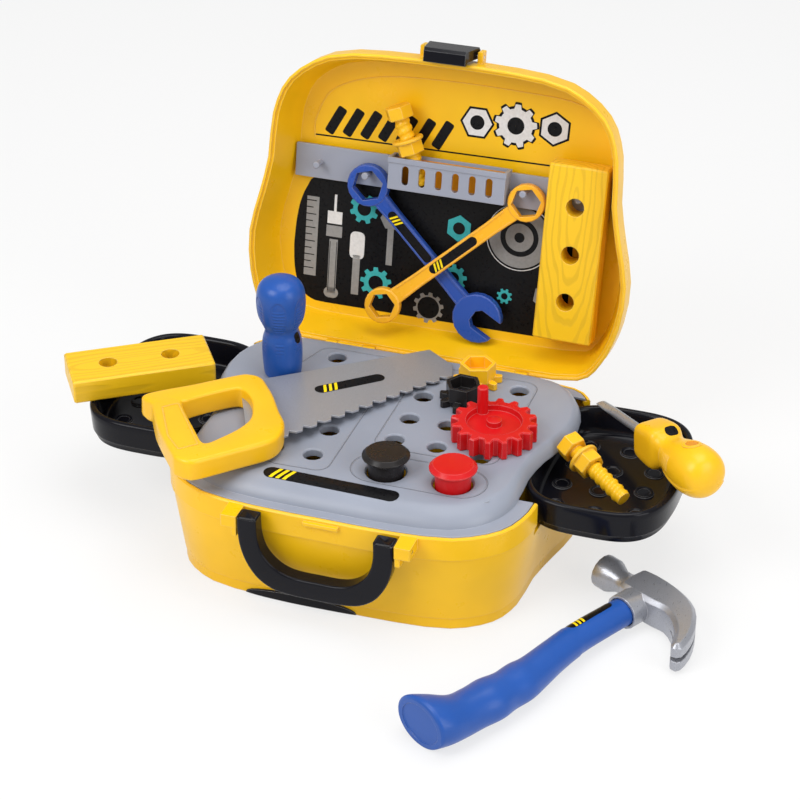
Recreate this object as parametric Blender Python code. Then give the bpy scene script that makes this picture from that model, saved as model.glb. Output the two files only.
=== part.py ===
"""Toy tool box: an open carry case with a play bench, slide-in trays and loose tools.

The origin is the centre of the case's flat underside. X runs to the right, Y to the
hinge at the rear and Z up. All lengths are metres.
"""
import math

import bpy
from mathutils import Matrix, Vector

# Fits shared by all pieces
FIT = 0.0003
PIN_FIT = 0.0003
BITE = 0.0008
CHAMFER = 0.0006
ROUND_EDGE_SHARES = ((1.0, 0.0), (0.25, 0.6), (0.0, 1.5))

# Case outline seen from above, as shares of half the width and half the depth
CASE_WIDTH = 0.298
CASE_DEPTH = 0.230
HALF_WIDTH = CASE_WIDTH / 2
HALF_DEPTH = CASE_DEPTH / 2
OUTLINE_SHARES = (
    (0.0, -1.0), (0.34, -0.995), (0.62, -0.945), (0.82, -0.77), (0.90, -0.52),
    (0.915, -0.22), (0.955, 0.03), (1.0, 0.30), (0.985, 0.58), (0.915, 0.83),
    (0.80, 0.975), (0.50, 1.0), (0.0, 1.0),
)
BENCH_FOOT_SHARES = (
    (0.0, -0.91), (0.33, -0.905), (0.585, -0.855), (0.745, -0.70), (0.815, -0.47),
    (0.815, -0.20), (0.845, 0.03), (0.915, 0.30), (0.915, 0.56), (0.84, 0.79),
    (0.73, 0.895), (0.48, 0.915), (0.0, 0.915),
)
BENCH_TOP_SHARES = (
    (0.0, -0.775), (0.33, -0.765), (0.54, -0.725), (0.68, -0.60), (0.755, -0.42),
    (0.765, -0.19), (0.795, 0.04), (0.865, 0.30), (0.865, 0.54), (0.79, 0.735),
    (0.68, 0.83), (0.46, 0.85), (0.0, 0.85),
)
OUTLINE_STEPS = (2, 2, 3, 3, 2, 2, 2, 2, 3, 3, 2, 1)

# Case base
RIM_HEIGHT = 0.0817
WALL = 0.0024
FLOOR = 0.0026
FLOOR_ROUND = 0.0030
SKIRT_HEIGHT = 0.0090
SKIRT_INSET = 0.0087
SKIRT_STEP = 0.0008
BAND_HEIGHT = 0.01825
BAND_STEP = 0.0012
RIM_ROUND = 0.0010
RIM_LIP = 0.0024
REBATE_DEPTH = 0.0022
LEDGE_INSET = 0.0046
LEDGE_DEPTH = 0.0024
LEDGE_SLOPE = 0.0052
WALL_FOOT_INSET = 0.0112

# Side openings of the base
OPENING_FRONT = -0.0475
OPENING_REAR = 0.0985
OPENING_DEPTH = 0.0277
OPENING_FLOOR = RIM_HEIGHT - OPENING_DEPTH
OPENING_INNER = 0.1000
OPENING_OUTER = 0.1700

# Shelf that carries the trays inside the case
DECK_THICK = 0.0020
DECK_INSET = 0.0052
DECK_FRONT = -0.0460
DECK_HOLE_RADIUS = 0.0070

# Bench plate
BENCH_RISE = 0.0120
BENCH_SHELL = 0.0020
FLANGE_THICK = 0.0016
FLANGE_INSET = 0.0032
FLANGE_PROUD = 0.0002
SHOULDER_SHARES = ((0.0, 0.02), (0.05, 0.22), (0.30, 0.60), (0.70, 0.92), (1.0, 1.0))
TRAY_HEADROOM = 0.0008

# Bench holes as x, y
HOLE_RADIUS = 0.0070
HOLE_CHAMFER = 0.0010
COLLAR_WALL = 0.0013
COLLAR_DEPTH = 0.0060
HOLE_SPOTS = (
    (-0.0580, 0.0780), (-0.0580, 0.0120), (-0.0580, -0.0210), (-0.0580, -0.0550),
    (-0.0280, 0.0450), (-0.0280, -0.0210), (-0.0280, -0.0550), (0.0210, 0.0780),
    (0.0215, 0.0450), (0.0215, 0.0125), (0.0205, -0.0180), (0.0520, -0.0180),
    (0.0505, 0.0125), (0.0855, -0.0220), (0.0860, 0.0750),
)
HOLE_SEGMENTS = 12
SMALL_SEGMENTS = 8
BUTTON_HOLE_RADIUS = 0.0140
BUTTON_HOLE_CHAMFER = 0.0013

# Bench screws, their posts and pads, as x, y of the right-hand pair
FRONT_POST_X = 0.1030
FRONT_POST_Y = -0.0700
REAR_POST_X = 0.0380
REAR_POST_Y = 0.0900
POST_RADIUS = 0.0038
POST_PILOT_RADIUS = 0.0017
POST_PILOT_DEPTH = 0.0120
PAD_RADIUS = 0.0062
PAD_HEIGHT = 0.0060
SCREW_HEAD_RADIUS = 0.0031
SCREW_HEAD_HEIGHT = 0.0019
SCREW_SHANK_RADIUS = 0.0014
SCREW_SINK = 0.0010
SCREW_SEAT_DEPTH = 0.0032
SCREW_LENGTH = 0.0140

# Lid, measured from the hinge axis in its closed pose
LID_OPEN_ANGLE = math.radians(101.45)
LID_DEPTH = 0.0400
LID_GAP = 0.0003
LID_PANEL = 0.0380
LID_BAND = 0.0180
LID_TOP_INSET = 0.0070
LID_TOP_ROUND = 0.0040
LID_LIP = 0.0022
LID_LEDGE = 0.0044
LID_REBATE = 0.0025
LID_WALL_FOOT = 0.0100
LID_FILLET = 0.0050
HINGE_Y = 0.1153
HINGE_Z = RIM_HEIGHT

# Hinges
HINGE_X = 0.0610
HINGE_WIDTH = 0.0400
KNUCKLE_WIDTH = 0.0200
KNUCKLE_RADIUS = 0.0032
KNUCKLE_CLEAR = 0.0006
HINGE_PIN_RADIUS = 0.0012
HINGE_PIN_SHORT = 0.0010

# Latch at the middle of the lid's free edge
LATCH_HALF_WIDTH = 0.0195
LATCH_TAPER = 0.0035
LATCH_THICK = 0.0105
LATCH_TOP = 0.0188
LATCH_BOTTOM = -0.0075
LATCH_GAP = 0.0006
LATCH_HOOK = 0.0022
LATCH_HOOK_TOP = -0.0052
LATCH_PIN_W = 0.0150
LATCH_PIN_OFF = 0.0045
LATCH_PIN_RADIUS = 0.0013
LATCH_LUG_WIDTH = 0.0040
LATCH_LUG_HALF = 0.0045

# Handle
HANDLE_PIVOT_Y = -0.1240
HANDLE_PIVOT_DEPTH = 0.0052
HANDLE_PIVOT_Z = RIM_HEIGHT - HANDLE_PIVOT_DEPTH
HANDLE_THICK = 0.0120
HANDLE_ROUND = 0.0026
HANDLE_OUTER_HALF = 0.0565
HANDLE_HEIGHT = 0.0525
HANDLE_OUTER_SHARES = (
    (1.0, 0.105), (1.0, -0.12), (0.975, -0.36), (0.90, -0.60), (0.76, -0.82),
    (0.56, -0.955), (0.30, -1.0), (0.0, -1.005),
)
HANDLE_INNER_SHARES = (
    (0.0, -0.715), (0.28, -0.71), (0.46, -0.655), (0.60, -0.54), (0.69, -0.40),
    (0.735, -0.24), (0.75, -0.08), (0.75, 0.105),
)
HANDLE_PIN_RADIUS = 0.0016
HANDLE_PIN_LENGTH = 0.0200
LUG_GAP = 0.0007
LUG_WIDTH = 0.0118
LUG_INNER = HANDLE_OUTER_HALF + LUG_GAP
LUG_OUTER = LUG_INNER + LUG_WIDTH
LUG_FRONT = -0.1292
LUG_BACK = -0.1120
LUG_TOP_DEPTH = 0.0005
LUG_HEIGHT = 0.0092
LUG_TOP = RIM_HEIGHT - LUG_TOP_DEPTH
LUG_BOTTOM = LUG_TOP - LUG_HEIGHT
LUG_TAB_WIDTH = 0.0042
LUG_TAB_REACH = 0.0070
LUG_TAB_BOTTOM = LUG_BOTTOM - LUG_TAB_REACH
LUG_TAB_BACK = -0.1215
CATCH_HALF = 0.0130
CATCH_FRONT = -0.1180
CATCH_DEPTH = 0.0025
CATCH_THICK = 0.0026
CATCH_TOP = RIM_HEIGHT - CATCH_DEPTH
CATCH_BOTTOM = CATCH_TOP - CATCH_THICK

# Front foot
FOOT_LEFT = -0.0620
FOOT_RIGHT = 0.0220
FOOT_HEIGHT = 0.0088
FOOT_THICK = 0.0020
FOOT_STEPS = 14

# Trays
TRAY_X = 0.1680
TRAY_Y = 0.0255
TRAY_HALF_X = 0.0550
TRAY_HALF_Y = 0.0710
TRAY_POWER = 3.15
TRAY_POINTS = 48
TRAY_HEIGHT = 0.0250
TRAY_GLIDE = 0.0010
TRAY_BOTTOM = OPENING_FLOOR + DECK_THICK + TRAY_GLIDE
TRAY_TOP = TRAY_BOTTOM + TRAY_HEIGHT
TRAY_BAND = 0.0050
TRAY_BAND_INSET = 0.0030
TRAY_EDGE = 0.0016
TRAY_TAPER = 0.0010
TRAY_RIM_IN = 0.0044
TRAY_RIM_DROP = 0.0012
TRAY_DISH_INSET = 0.0090
TRAY_FLOOR_THICK = 0.0050
TRAY_FLOOR = TRAY_BOTTOM + TRAY_FLOOR_THICK
TRAY_FLOOR_ROUND = 0.0040
TRAY_DISC_RADIUS = 0.0056
TRAY_DISC_RISE = 0.0012
DISC_SEGMENTS = 10
TRAY_DISC_SHARES = (
    (-0.52, -0.58), (0.0, -0.60), (0.52, -0.50), (-0.56, -0.20), (-0.06, -0.21), (0.50, -0.10),
    (-0.52, 0.20), (0.0, 0.18), (0.52, 0.28), (-0.44, 0.58), (0.10, 0.58),
)

# Push buttons and their rocker
BUTTON_Y = -0.0590
BLACK_BUTTON_X = 0.0280
RED_BUTTON_X = 0.0770
BUTTON_RISE = 0.0163
BUTTON_TOP = RIM_HEIGHT + BENCH_RISE + BUTTON_RISE
BUTTON_CAP_RADIUS = 0.0170
BUTTON_CAP_THICK = 0.0052
BUTTON_STEM_RADIUS = 0.0128
BUTTON_HEIGHT = 0.0340
BUTTON_STEM_BOTTOM = BUTTON_TOP - BUTTON_HEIGHT
BUTTON_NUB_RADIUS = 0.0014
BUTTON_EDGE = 0.0014
ROCKER_GAP = 0.0030
ROCKER_TOP = BUTTON_STEM_BOTTOM - ROCKER_GAP
ROCKER_THICK = 0.0050
ROCKER_HALF_DEPTH = 0.0040
ROCKER_OVERHANG = 0.0040
ROCKER_NUB_GAP = 0.0004
ROCKER_PIN_RADIUS = 0.0015
ROCKER_PIN_HALF = 0.0110
ROCKER_LUG_NEAR = 0.0044
ROCKER_LUG_FAR = 0.0084
ROCKER_LUG_HALF = 0.0048
ROCKER_LUG_BELOW = 0.0018
ROCKER_LUG_BOTTOM = ROCKER_TOP - ROCKER_THICK - ROCKER_LUG_BELOW

# Gears
GEAR_LIFT = 0.0004
GEAR_HUB_RADIUS = 0.0064
GEAR_HUB_DEPTH = 0.0070
RED_GEAR_X = 0.0865
RED_GEAR_Y = 0.0075
RED_GEAR_RADIUS = 0.0310
RED_GEAR_ROOT = 0.0262
RED_GEAR_TEETH = 16
RED_TOOTH_SHARES = ((0.0, 0.0), (0.20, 1.0), (0.50, 1.0), (0.70, 0.0))
RED_GEAR_THICK = 0.0140
RED_GEAR_BEVEL = 0.0008
RED_DISH_RADIUS = 0.0195
RED_DISH_DEPTH = 0.0040
RED_BOSS_RADIUS = 0.0053
RED_BOSS_RISE = 0.0042
CRANK_X = -0.0128
CRANK_Y = 0.0140
CRANK_RADIUS = 0.0041
CRANK_TOP = 0.0310
PETAL_COUNT = 8
PETAL_RADIUS = 0.0183
PETAL_ROOT = 0.0116
PETAL_SHARES = (
    (-0.27, 0.0), (-0.215, 0.55), (-0.13, 0.93), (0.0, 1.0), (0.13, 0.93), (0.215, 0.55), (0.27, 0.0),
)
PETAL_THICK = 0.0050
PETAL_GEAR_HEIGHT = 0.0160
HEX_OUTER = 0.0116
HEX_INNER = 0.0092
HEX_DEPTH = 0.0095
BLACK_GEAR_X = 0.0516
BLACK_GEAR_Y = 0.0462
YELLOW_GEAR_X = 0.0532
YELLOW_GEAR_Y = 0.0772

# Tool rack in the lid, as x, v up from the hinge and w behind the rim plane
RACK_HALF = 0.1246
RACK_LOW = 0.1210
RACK_HIGH = 0.1470
RACK_FRONT = 0.0315
RACK_BACK = 0.0340
RACK_RIB_X = 0.0900
RACK_RIB_HALF = 0.0030
RACK_RIB_BACK = 0.0377
POCKET_LEFT = -0.0450
POCKET_RIGHT = 0.0469
POCKET_LOW = 0.1250
POCKET_HIGH = 0.1490
POCKET_FRONT = 0.0170
POCKET_WALL = 0.0018
POCKET_LIP = 0.0034
POCKET_LIP_PROUD = 0.0006
SLOT_FIRST = -0.0315
SLOT_PITCH = 0.0132
SLOT_COUNT = 6
SLOT_HALF = 0.0027
SLOT_END_STEPS = 7
SLOT_LOW = 0.1290
SLOT_HIGH = 0.1440
PEG_RADIUS = 0.0022
PEG_HEAD_RADIUS = 0.0028
PEG_FRONT = 0.0195
PEG_HEAD = 0.0020
PEG_SPOTS = ((-0.1040, 0.1340), (-0.0645, 0.1308), (0.0600, 0.1347), (0.1025, 0.1366))

# Spanners
SPANNER_HALF_THICK = 0.0030
SPANNER_ROUND = 0.0007
SPANNER_SEGMENTS = 20
SPANNER_SHAFT_HALF = 0.0068
SPANNER_WAIST_HALF = 0.0056
BLUE_RING_X = -0.0630
BLUE_RING_V = 0.1227
BLUE_JAW_X = 0.0310
BLUE_JAW_V = 0.0310
BLUE_SPANNER_W = 0.0274
BLUE_RING_RADIUS = 0.0165
BLUE_HEX_RADIUS = 0.0126
JAW_RADIUS = 0.0195
JAW_WIDTH = 0.0170
JAW_THROAT = 0.0040
JAW_TURN = math.radians(-15.0)
YELLOW_RING_X = 0.0625
YELLOW_RING_V = 0.1276
YELLOW_LOW_X = -0.0417
YELLOW_LOW_V = 0.0332
YELLOW_RING_W = 0.0255
YELLOW_LOW_W = 0.0150
YELLOW_RING_RADIUS = 0.0144
YELLOW_HEX_RADIUS = 0.0116
YELLOW_LOW_RADIUS = 0.0140
YELLOW_LOW_HEX = 0.0104

# Planks
PLANK_THICK = 0.0185
PLANK_ROUND = 0.0012
PLANK_HOLE_RADIUS = 0.0070
LONG_PLANK_LENGTH = 0.1360
LONG_PLANK_WIDTH = 0.0450
LONG_PLANK_X = 0.1020
LONG_PLANK_V = 0.0958
LONG_PLANK_FRONT = 0.0126
LONG_PLANK_TILT = math.radians(0.8)
LONG_PLANK_PITCH = 0.0368
SHORT_PLANK_LENGTH = 0.1070
SHORT_PLANK_WIDTH = 0.0460
SHORT_PLANK_X = -0.1940
SHORT_PLANK_Y = 0.0180
SHORT_PLANK_GAP = 0.0005
SHORT_PLANK_BOTTOM = TRAY_TOP + SHORT_PLANK_GAP
SHORT_PLANK_TURN = math.radians(34.3)
SHORT_PLANK_PITCH = 0.0472

# Bolts with flanged nuts
BOLT_HEAD_RADIUS = 0.0100
BOLT_HEAD_HEIGHT = 0.0100
BOLT_LENGTH = 0.0630
BOLT_CORE = 0.0050
BOLT_THREAD = 0.0057
BOLT_TURNS = 9
BOLT_TIP = 0.0020
NUT_BORE = 0.0062
NUT_FLANGE_RADIUS = 0.0115
NUT_FLANGE_THICK = 0.0028
NUT_HEX_RADIUS = 0.0098
NUT_HEIGHT = 0.0120
TRAY_BOLT_NUT = 0.0170
RACK_BOLT_NUT = 0.0258
TRAY_BOLT_HEAD_RISE = 0.0085
TRAY_BOLT_AIM_DEPTH = 0.0080
TRAY_BOLT_HEAD = (0.1366, 0.0228, TRAY_TOP + TRAY_BOLT_HEAD_RISE)
TRAY_BOLT_AIM = (0.1851, -0.0087, TRAY_TOP - TRAY_BOLT_AIM_DEPTH)
RACK_BOLT_TIP = (-0.0205, 0.1292, 0.0256)
RACK_BOLT_AIM = (-0.0435, 0.1892, 0.0229)

# Screwdrivers
YELLOW_TIP_RISE = 0.0042
YELLOW_BUTT_RISE = 0.0190
YELLOW_DRIVER_TIP = (0.1395, 0.0935, TRAY_TOP + YELLOW_TIP_RISE)
YELLOW_DRIVER_BUTT = (0.2480, -0.0090, TRAY_TOP + YELLOW_BUTT_RISE)
DRIVER_LENGTH = 0.0800
DRIVER_RADIUS = 0.0182
DRIVER_SHARES = (
    (0.0, 0.66), (0.02, 0.76), (0.20, 0.82), (0.36, 0.80), (0.45, 0.70), (0.50, 0.72),
    (0.58, 0.90), (0.68, 0.99), (0.80, 1.0), (0.89, 0.93), (0.95, 0.76), (0.985, 0.48),
    (1.0, 0.22),
)
DRIVER_SEGMENTS = 16
DRIVER_SHAFT_RADIUS = 0.0036
DRIVER_SHAFT_LENGTH = 0.0630
DRIVER_TIP_LENGTH = 0.0120
DRIVER_BLADE_SHARES = ((0.0, 0.30, 1.1), (1.0, 0.60, 1.25), (2.0, 1.0, 1.0))
DRIVER_SOCKET = 0.0140
BLUE_DRIVER_X = -0.0890
BLUE_DRIVER_Y = 0.0445

# Saw, in a frame whose X runs from the handle to the tip; the tip's place is given
SAW_TIP_X = 0.0223
SAW_TIP_Y = 0.0940
SAW_TIP_RISE = 0.0018
SAW_TURN = math.radians(49.2)
SAW_PITCH = math.radians(2.9)
SAW_BLADE_HALF = 0.0008
SAW_TEETH = 13
SAW_TOOTH_DEPTH = 0.0045
SAW_LENGTH = 0.1500
SAW_BLADE_SHARES = ((-0.02, 0.257), (0.993, 0.139), (1.013, -0.047), (0.977, -0.108))
SAW_HEEL_SHARES = ((-0.106, -0.265), (-0.20, -0.16))
SAW_TOOTH_SHARES = ((0.0, 0.0), (0.30, 1.0), (0.72, 0.92), (0.94, 0.10))
SAW_HANDLE_THICK = 0.0170
SAW_HANDLE_ROUND = 0.0024
SAW_GRIP_SHARES = (
    (-0.507, 0.293), (-0.250, 0.275), (-0.030, 0.262), (0.030, 0.240), (0.062, 0.185),
    (0.050, 0.090), (0.033, 0.010), (-0.010, -0.130), (-0.040, -0.240), (-0.100, -0.325),
    (-0.185, -0.372), (-0.350, -0.378), (-0.560, -0.378), (-0.610, -0.360), (-0.637, -0.315),
    (-0.640, -0.260), (-0.590, 0.0), (-0.528, 0.190), (-0.540, 0.240),
)
SAW_WINDOW_SHARES = (
    (-0.400, 0.118), (-0.360, 0.142), (-0.220, 0.150), (-0.105, 0.143), (-0.075, 0.110),
    (-0.078, 0.035), (-0.110, -0.050), (-0.170, -0.140), (-0.260, -0.198), (-0.380, -0.238),
    (-0.450, -0.252), (-0.470, -0.225), (-0.455, -0.140),
)
SAW_SLOT_DEPTH = 0.040
SAW_SLOT_FIT = 0.0003

# Hammer, in a frame whose X runs from the butt to the head
HAMMER_X = 0.1074
HAMMER_Y = -0.2254
HAMMER_TURN = math.radians(59.9)
HAMMER_LENGTH = 0.2010
HAMMER_HANDLE_SHARES = (
    (0.0, -0.004, 0.105, 0.085), (0.012, -0.006, 0.112, 0.090), (0.06, -0.022, 0.104, 0.084),
    (0.13, -0.040, 0.082, 0.072), (0.20, -0.044, 0.078, 0.070), (0.27, -0.046, 0.083, 0.070),
    (0.34, -0.044, 0.073, 0.066), (0.41, -0.040, 0.076, 0.065), (0.48, -0.032, 0.067, 0.061),
    (0.60, -0.010, 0.060, 0.056), (0.72, 0.006, 0.057, 0.054), (0.86, 0.010, 0.056, 0.052),
    (1.0, 0.010, 0.055, 0.050),
)
HAMMER_SEGMENTS = 16
HEAD_HALF_THICK = 0.0125
HEAD_ROUND = 0.0030
HEAD_SIZE = 0.1000
HEAD_BODY_SHARES = (
    (0.010, 0.050), (0.016, -0.150), (0.030, -0.270), (-0.020, -0.390), (-0.110, -0.490),
    (-0.215, -0.560), (-0.235, -0.600), (-0.195, -0.640), (-0.060, -0.600), (0.090, -0.510),
    (0.210, -0.390), (0.275, -0.240), (0.300, -0.060), (0.290, 0.100), (0.250, 0.165),
    (0.060, 0.165), (0.015, 0.135),
)
HEAD_POLL_SHARES = (
    (0.14, 0.105), (0.20, 0.085), (0.26, 0.085), (0.31, 0.110), (0.34, 0.140), (0.42, 0.140),
    (0.435, 0.125),
)
HEAD_POLL_X = 0.0155
HEAD_COLLAR_HALF_Y = 0.0132
HEAD_COLLAR_HALF_Z = 0.0124
HEAD_COLLAR_LENGTH = 0.0110
HEAD_COLLAR_OVERLAP = 0.0040
CLAW_GAP_NEAR = 0.0010
CLAW_GAP_FAR = 0.0052
CLAW_GAP_START = -0.036
CLAW_GAP_END = -0.075

# Finish colours, as red, green and blue
YELLOW = (0.87, 0.47, 0.016)
GREY = (0.30, 0.32, 0.38)
RACK_GREY = (0.28, 0.30, 0.40)
BLACK = (0.012, 0.012, 0.016)
RED = (0.72, 0.012, 0.016)
BLUE = (0.020, 0.110, 0.50)
SILVER = (0.33, 0.34, 0.37)
STEEL = (0.55, 0.55, 0.57)


def clear_scene():
    """Remove whatever objects the scene holds."""
    for item in list(bpy.data.objects):
        bpy.data.objects.remove(item, do_unlink=True)


# Outlines


def smooth_loop(points, span_steps):
    """Closed smooth curve through the points, with a step count for each span."""
    loop = []
    count = len(points)
    for index in range(count):
        a, b, c, d = (Vector(points[(index + shift) % count]) for shift in (-1, 0, 1, 2))
        for step in range(span_steps[index]):
            t = step / span_steps[index]
            loop.append((
                2 * b + (c - a) * t + (2 * a - 5 * b + 4 * c - d) * t * t
                + (3 * b - a - 3 * c + d) * t * t * t
            ) / 2)
    return loop


def mirrored(shares, half_width, half_depth):
    """Whole outline from the shares of its right half, front to rear."""
    right = [(x * half_width, y * half_depth) for x, y in shares]
    left = [(-x, y) for x, y in reversed(right[1:-1])]
    return right + left


def case_loop(shares):
    """Smooth closed outline of the case from one share table."""
    steps = OUTLINE_STEPS + tuple(reversed(OUTLINE_STEPS))
    return smooth_loop(mirrored(shares, HALF_WIDTH, HALF_DEPTH), steps)


def doubled_loop(points):
    """Smooth closed curve with two steps in every span."""
    return smooth_loop(points, [2] * len(points))


def inset(loop, distance):
    """Counter-clockwise loop moved inward by a distance along its normals."""
    result = []
    count = len(loop)
    for index in range(count):
        before, here, after = loop[index - 1], loop[index], loop[(index + 1) % count]
        first = (Vector(here) - Vector(before)).normalized()
        second = (Vector(after) - Vector(here)).normalized()
        normal = Vector((-first.y - second.y, first.x + second.x)).normalized()
        spread = max(normal.dot(Vector((-first.y, first.x))), math.cos(math.radians(60)))
        result.append(Vector(here) + normal * (distance / spread))
    return result


def blend(first, second, share):
    """Loop between two loops of equal count."""
    return [Vector(a).lerp(Vector(b), share) for a, b in zip(first, second)]


def circle(radius, segments, centre=(0, 0), turn=0.0):
    """Regular loop of a radius."""
    return [
        Vector((
            centre[0] + radius * math.cos(turn + 2 * math.pi * k / segments),
            centre[1] + radius * math.sin(turn + 2 * math.pi * k / segments),
        ))
        for k in range(segments)
    ]


def rectangle(left, right, low, high, corner=0.0):
    """Counter-clockwise rectangle, with cut corners when a corner size is given."""
    if not corner:
        return [Vector(p) for p in ((left, low), (right, low), (right, high), (left, high))]
    return [Vector(p) for p in (
        (left + corner, low), (right - corner, low), (right, low + corner), (right, high - corner),
        (right - corner, high), (left + corner, high), (left, high - corner), (left, low + corner),
    )]


def scaled(shares, size):
    """Share table turned into lengths."""
    return [Vector((x * size, y * size)) for x, y in shares]


# Solids as vertex and face lists


def loft(rings):
    """Closed solid through rings of equal count, with flat caps at both ends."""
    count = len(rings[0])
    verts = [tuple(point) for ring in rings for point in ring]
    faces = [tuple(reversed(range(count)))]
    for level in range(len(rings) - 1):
        low = level * count
        high = low + count
        for k in range(count):
            n = (k + 1) % count
            faces.append((low + k, low + n, high + n, high + k))
    faces.append(tuple(range(len(verts) - count, len(verts))))
    return verts, faces


def rounded_sides(size, half):
    """Inset and height of each ring of a bar whose four long edges are rounded."""
    lower = [(size * across, -half + size * up) for across, up in ROUND_EDGE_SHARES]
    return lower + [(amount, -height) for amount, height in reversed(lower)]


def at_height(loop, height):
    """Flat loop lifted to a height."""
    return [(p[0], p[1], height) for p in loop]


def prism(loop, low, high, chamfer=0.0):
    """Upright solid of one outline, with its top and bottom edges cut when asked."""
    if not chamfer:
        return loft([at_height(loop, low), at_height(loop, high)])
    small = inset(loop, chamfer)
    return loft([
        at_height(small, low), at_height(loop, low + chamfer),
        at_height(loop, high - chamfer), at_height(small, high),
    ])


def lathe(profile, segments, centre=(0, 0)):
    """Solid of revolution about Z from radius and height pairs, bottom to top."""
    return loft([at_height(circle(radius, segments, centre), height) for radius, height in profile])


def merged(solids):
    """Several separate solids as one vertex and face list."""
    verts, faces = [], []
    for part_verts, part_faces in solids:
        start = len(verts)
        verts.extend(part_verts)
        faces.extend(tuple(start + k for k in face) for face in part_faces)
    return verts, faces


def moved(solid, matrix):
    """Solid carried by a matrix; a mirroring matrix also turns its faces."""
    verts, faces = solid
    verts = [tuple(matrix @ Vector(v)) for v in verts]
    if matrix.to_3x3().determinant() < 0:
        faces = [tuple(reversed(face)) for face in faces]
    return verts, faces


def shifted(solid, x=0.0, y=0.0, z=0.0):
    """Solid moved by a distance."""
    return moved(solid, Matrix.Translation((x, y, z)))


def along_x(solid):
    """Solid built along Z laid along X."""
    return moved(solid, Matrix.Rotation(math.pi / 2, 4, 'Y'))


def along_y(solid):
    """Solid built along Z laid along Y."""
    return moved(solid, Matrix.Rotation(-math.pi / 2, 4, 'X'))


def block(left, right, front, rear, low, high, corner=0.0):
    """Box, with cut upright edges when a corner size is given."""
    return prism(rectangle(left, right, front, rear, corner), low, high)


# Objects


def finish(name, colour, roughness, metallic=0.0):
    """Material of one piece."""
    material = bpy.data.materials.new(name + "_finish")
    material.use_nodes = True
    shader = material.node_tree.nodes["Principled BSDF"]
    shader.inputs["Base Color"].default_value = (*colour, 1.0)
    shader.inputs["Roughness"].default_value = roughness
    shader.inputs["Metallic"].default_value = metallic
    material.diffuse_color = (*colour, 1.0)
    return material


def outward(solid):
    """Solid whose faces all point outward, turned round when its volume comes out negative."""
    verts, faces = solid
    volume = 0.0
    for face in faces:
        first = Vector(verts[face[0]])
        for k in range(1, len(face) - 1):
            volume += first.dot(Vector(verts[face[k]]).cross(Vector(verts[face[k + 1]])))
    if volume < 0:
        faces = [tuple(reversed(face)) for face in faces]
    return verts, faces


def place(name, solid, parent):
    """Object with the mesh of a solid, under a parent when one is given."""
    verts, faces = outward(solid)
    mesh = bpy.data.meshes.new(name)
    mesh.from_pydata(verts, [], faces)
    mesh.update()
    item = bpy.data.objects.new(name, mesh)
    bpy.context.scene.collection.objects.link(item)
    if parent:
        item.parent = parent
    return item


def piece(name, solid, colour, roughness, parent=None, metallic=0.0, smooth_angle=35.0):
    """Visible piece with its own material and smooth shading on its round faces."""
    item = place(name, solid, parent)
    item.data.materials.append(finish(name, colour, roughness, metallic))
    item.data.shade_smooth()
    item.data.set_sharp_from_angle(angle=math.radians(smooth_angle))
    return item


def helper(name, solid, parent):
    """Hidden solid that shapes a visible piece."""
    item = place(name, solid, parent)
    item.hide_render = True
    item.display_type = 'WIRE'
    return item


def combine(item, solid, operation, label):
    """Join a solid to a piece or take it away."""
    tool = helper(item.name + "_" + label, solid, item.parent)
    tool.location = item.location
    tool.rotation_euler = item.rotation_euler
    step = item.modifiers.new(label, 'BOOLEAN')
    step.operation = operation
    step.solver = 'EXACT'
    step.object = tool


def fuse(item, solid, label):
    """Join a solid to a piece."""
    combine(item, solid, 'UNION', label)


def carve(item, solid, label):
    """Take a solid away from a piece."""
    combine(item, solid, 'DIFFERENCE', label)


def pivot(name, location, rotation=(0, 0, 0), parent=None):
    """Empty that carries the pieces of one moving part."""
    item = bpy.data.objects.new(name, None)
    bpy.context.scene.collection.objects.link(item)
    item.location = location
    item.rotation_euler = rotation
    if parent:
        item.parent = parent
    return item


# Case base


def base_shell():
    """Tub with a skirt, a band under the rim, a rebate for the bench and thin walls."""
    loop = case_loop(OUTLINE_SHARES)
    band_foot = RIM_HEIGHT - BAND_HEIGHT
    rebate = RIM_HEIGHT - REBATE_DEPTH
    ledge = rebate - LEDGE_DEPTH
    rings = (
        (SKIRT_INSET + RIM_ROUND, 0.0),
        (SKIRT_INSET, RIM_ROUND),
        (SKIRT_INSET, SKIRT_HEIGHT),
        (SKIRT_INSET - SKIRT_STEP, SKIRT_HEIGHT + CHAMFER),
        (BAND_STEP, band_foot),
        (0.0, band_foot + CHAMFER),
        (0.0, RIM_HEIGHT - RIM_ROUND),
        (RIM_ROUND, RIM_HEIGHT),
        (RIM_LIP, RIM_HEIGHT),
        (RIM_LIP, rebate),
        (LEDGE_INSET, rebate),
        (LEDGE_INSET, ledge),
        (WALL, ledge - LEDGE_SLOPE),
        (WALL_FOOT_INSET, FLOOR + FLOOR_ROUND),
        (WALL_FOOT_INSET + FLOOR_ROUND, FLOOR),
    )
    return loft([at_height(inset(loop, amount), height) for amount, height in rings])


def post_spots():
    """Places of the four screw posts."""
    return [
        (side * x, y) for side in (-1, 1)
        for x, y in ((FRONT_POST_X, FRONT_POST_Y), (REAR_POST_X, REAR_POST_Y))
    ]


def side_opening(side):
    """Space that a tray needs in the wall of one side."""
    left, right = sorted((side * OPENING_INNER, side * OPENING_OUTER))
    return block(left, right, OPENING_FRONT, OPENING_REAR, OPENING_FLOOR, RIM_HEIGHT + LEDGE_SLOPE)


def handle_lug(side):
    """Block with a hanging tab that holds one handle pin."""
    left, right = sorted((side * LUG_INNER, side * LUG_OUTER))
    body = block(left, right, LUG_FRONT, LUG_BACK, LUG_BOTTOM, LUG_TOP, CHAMFER)
    return body


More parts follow.
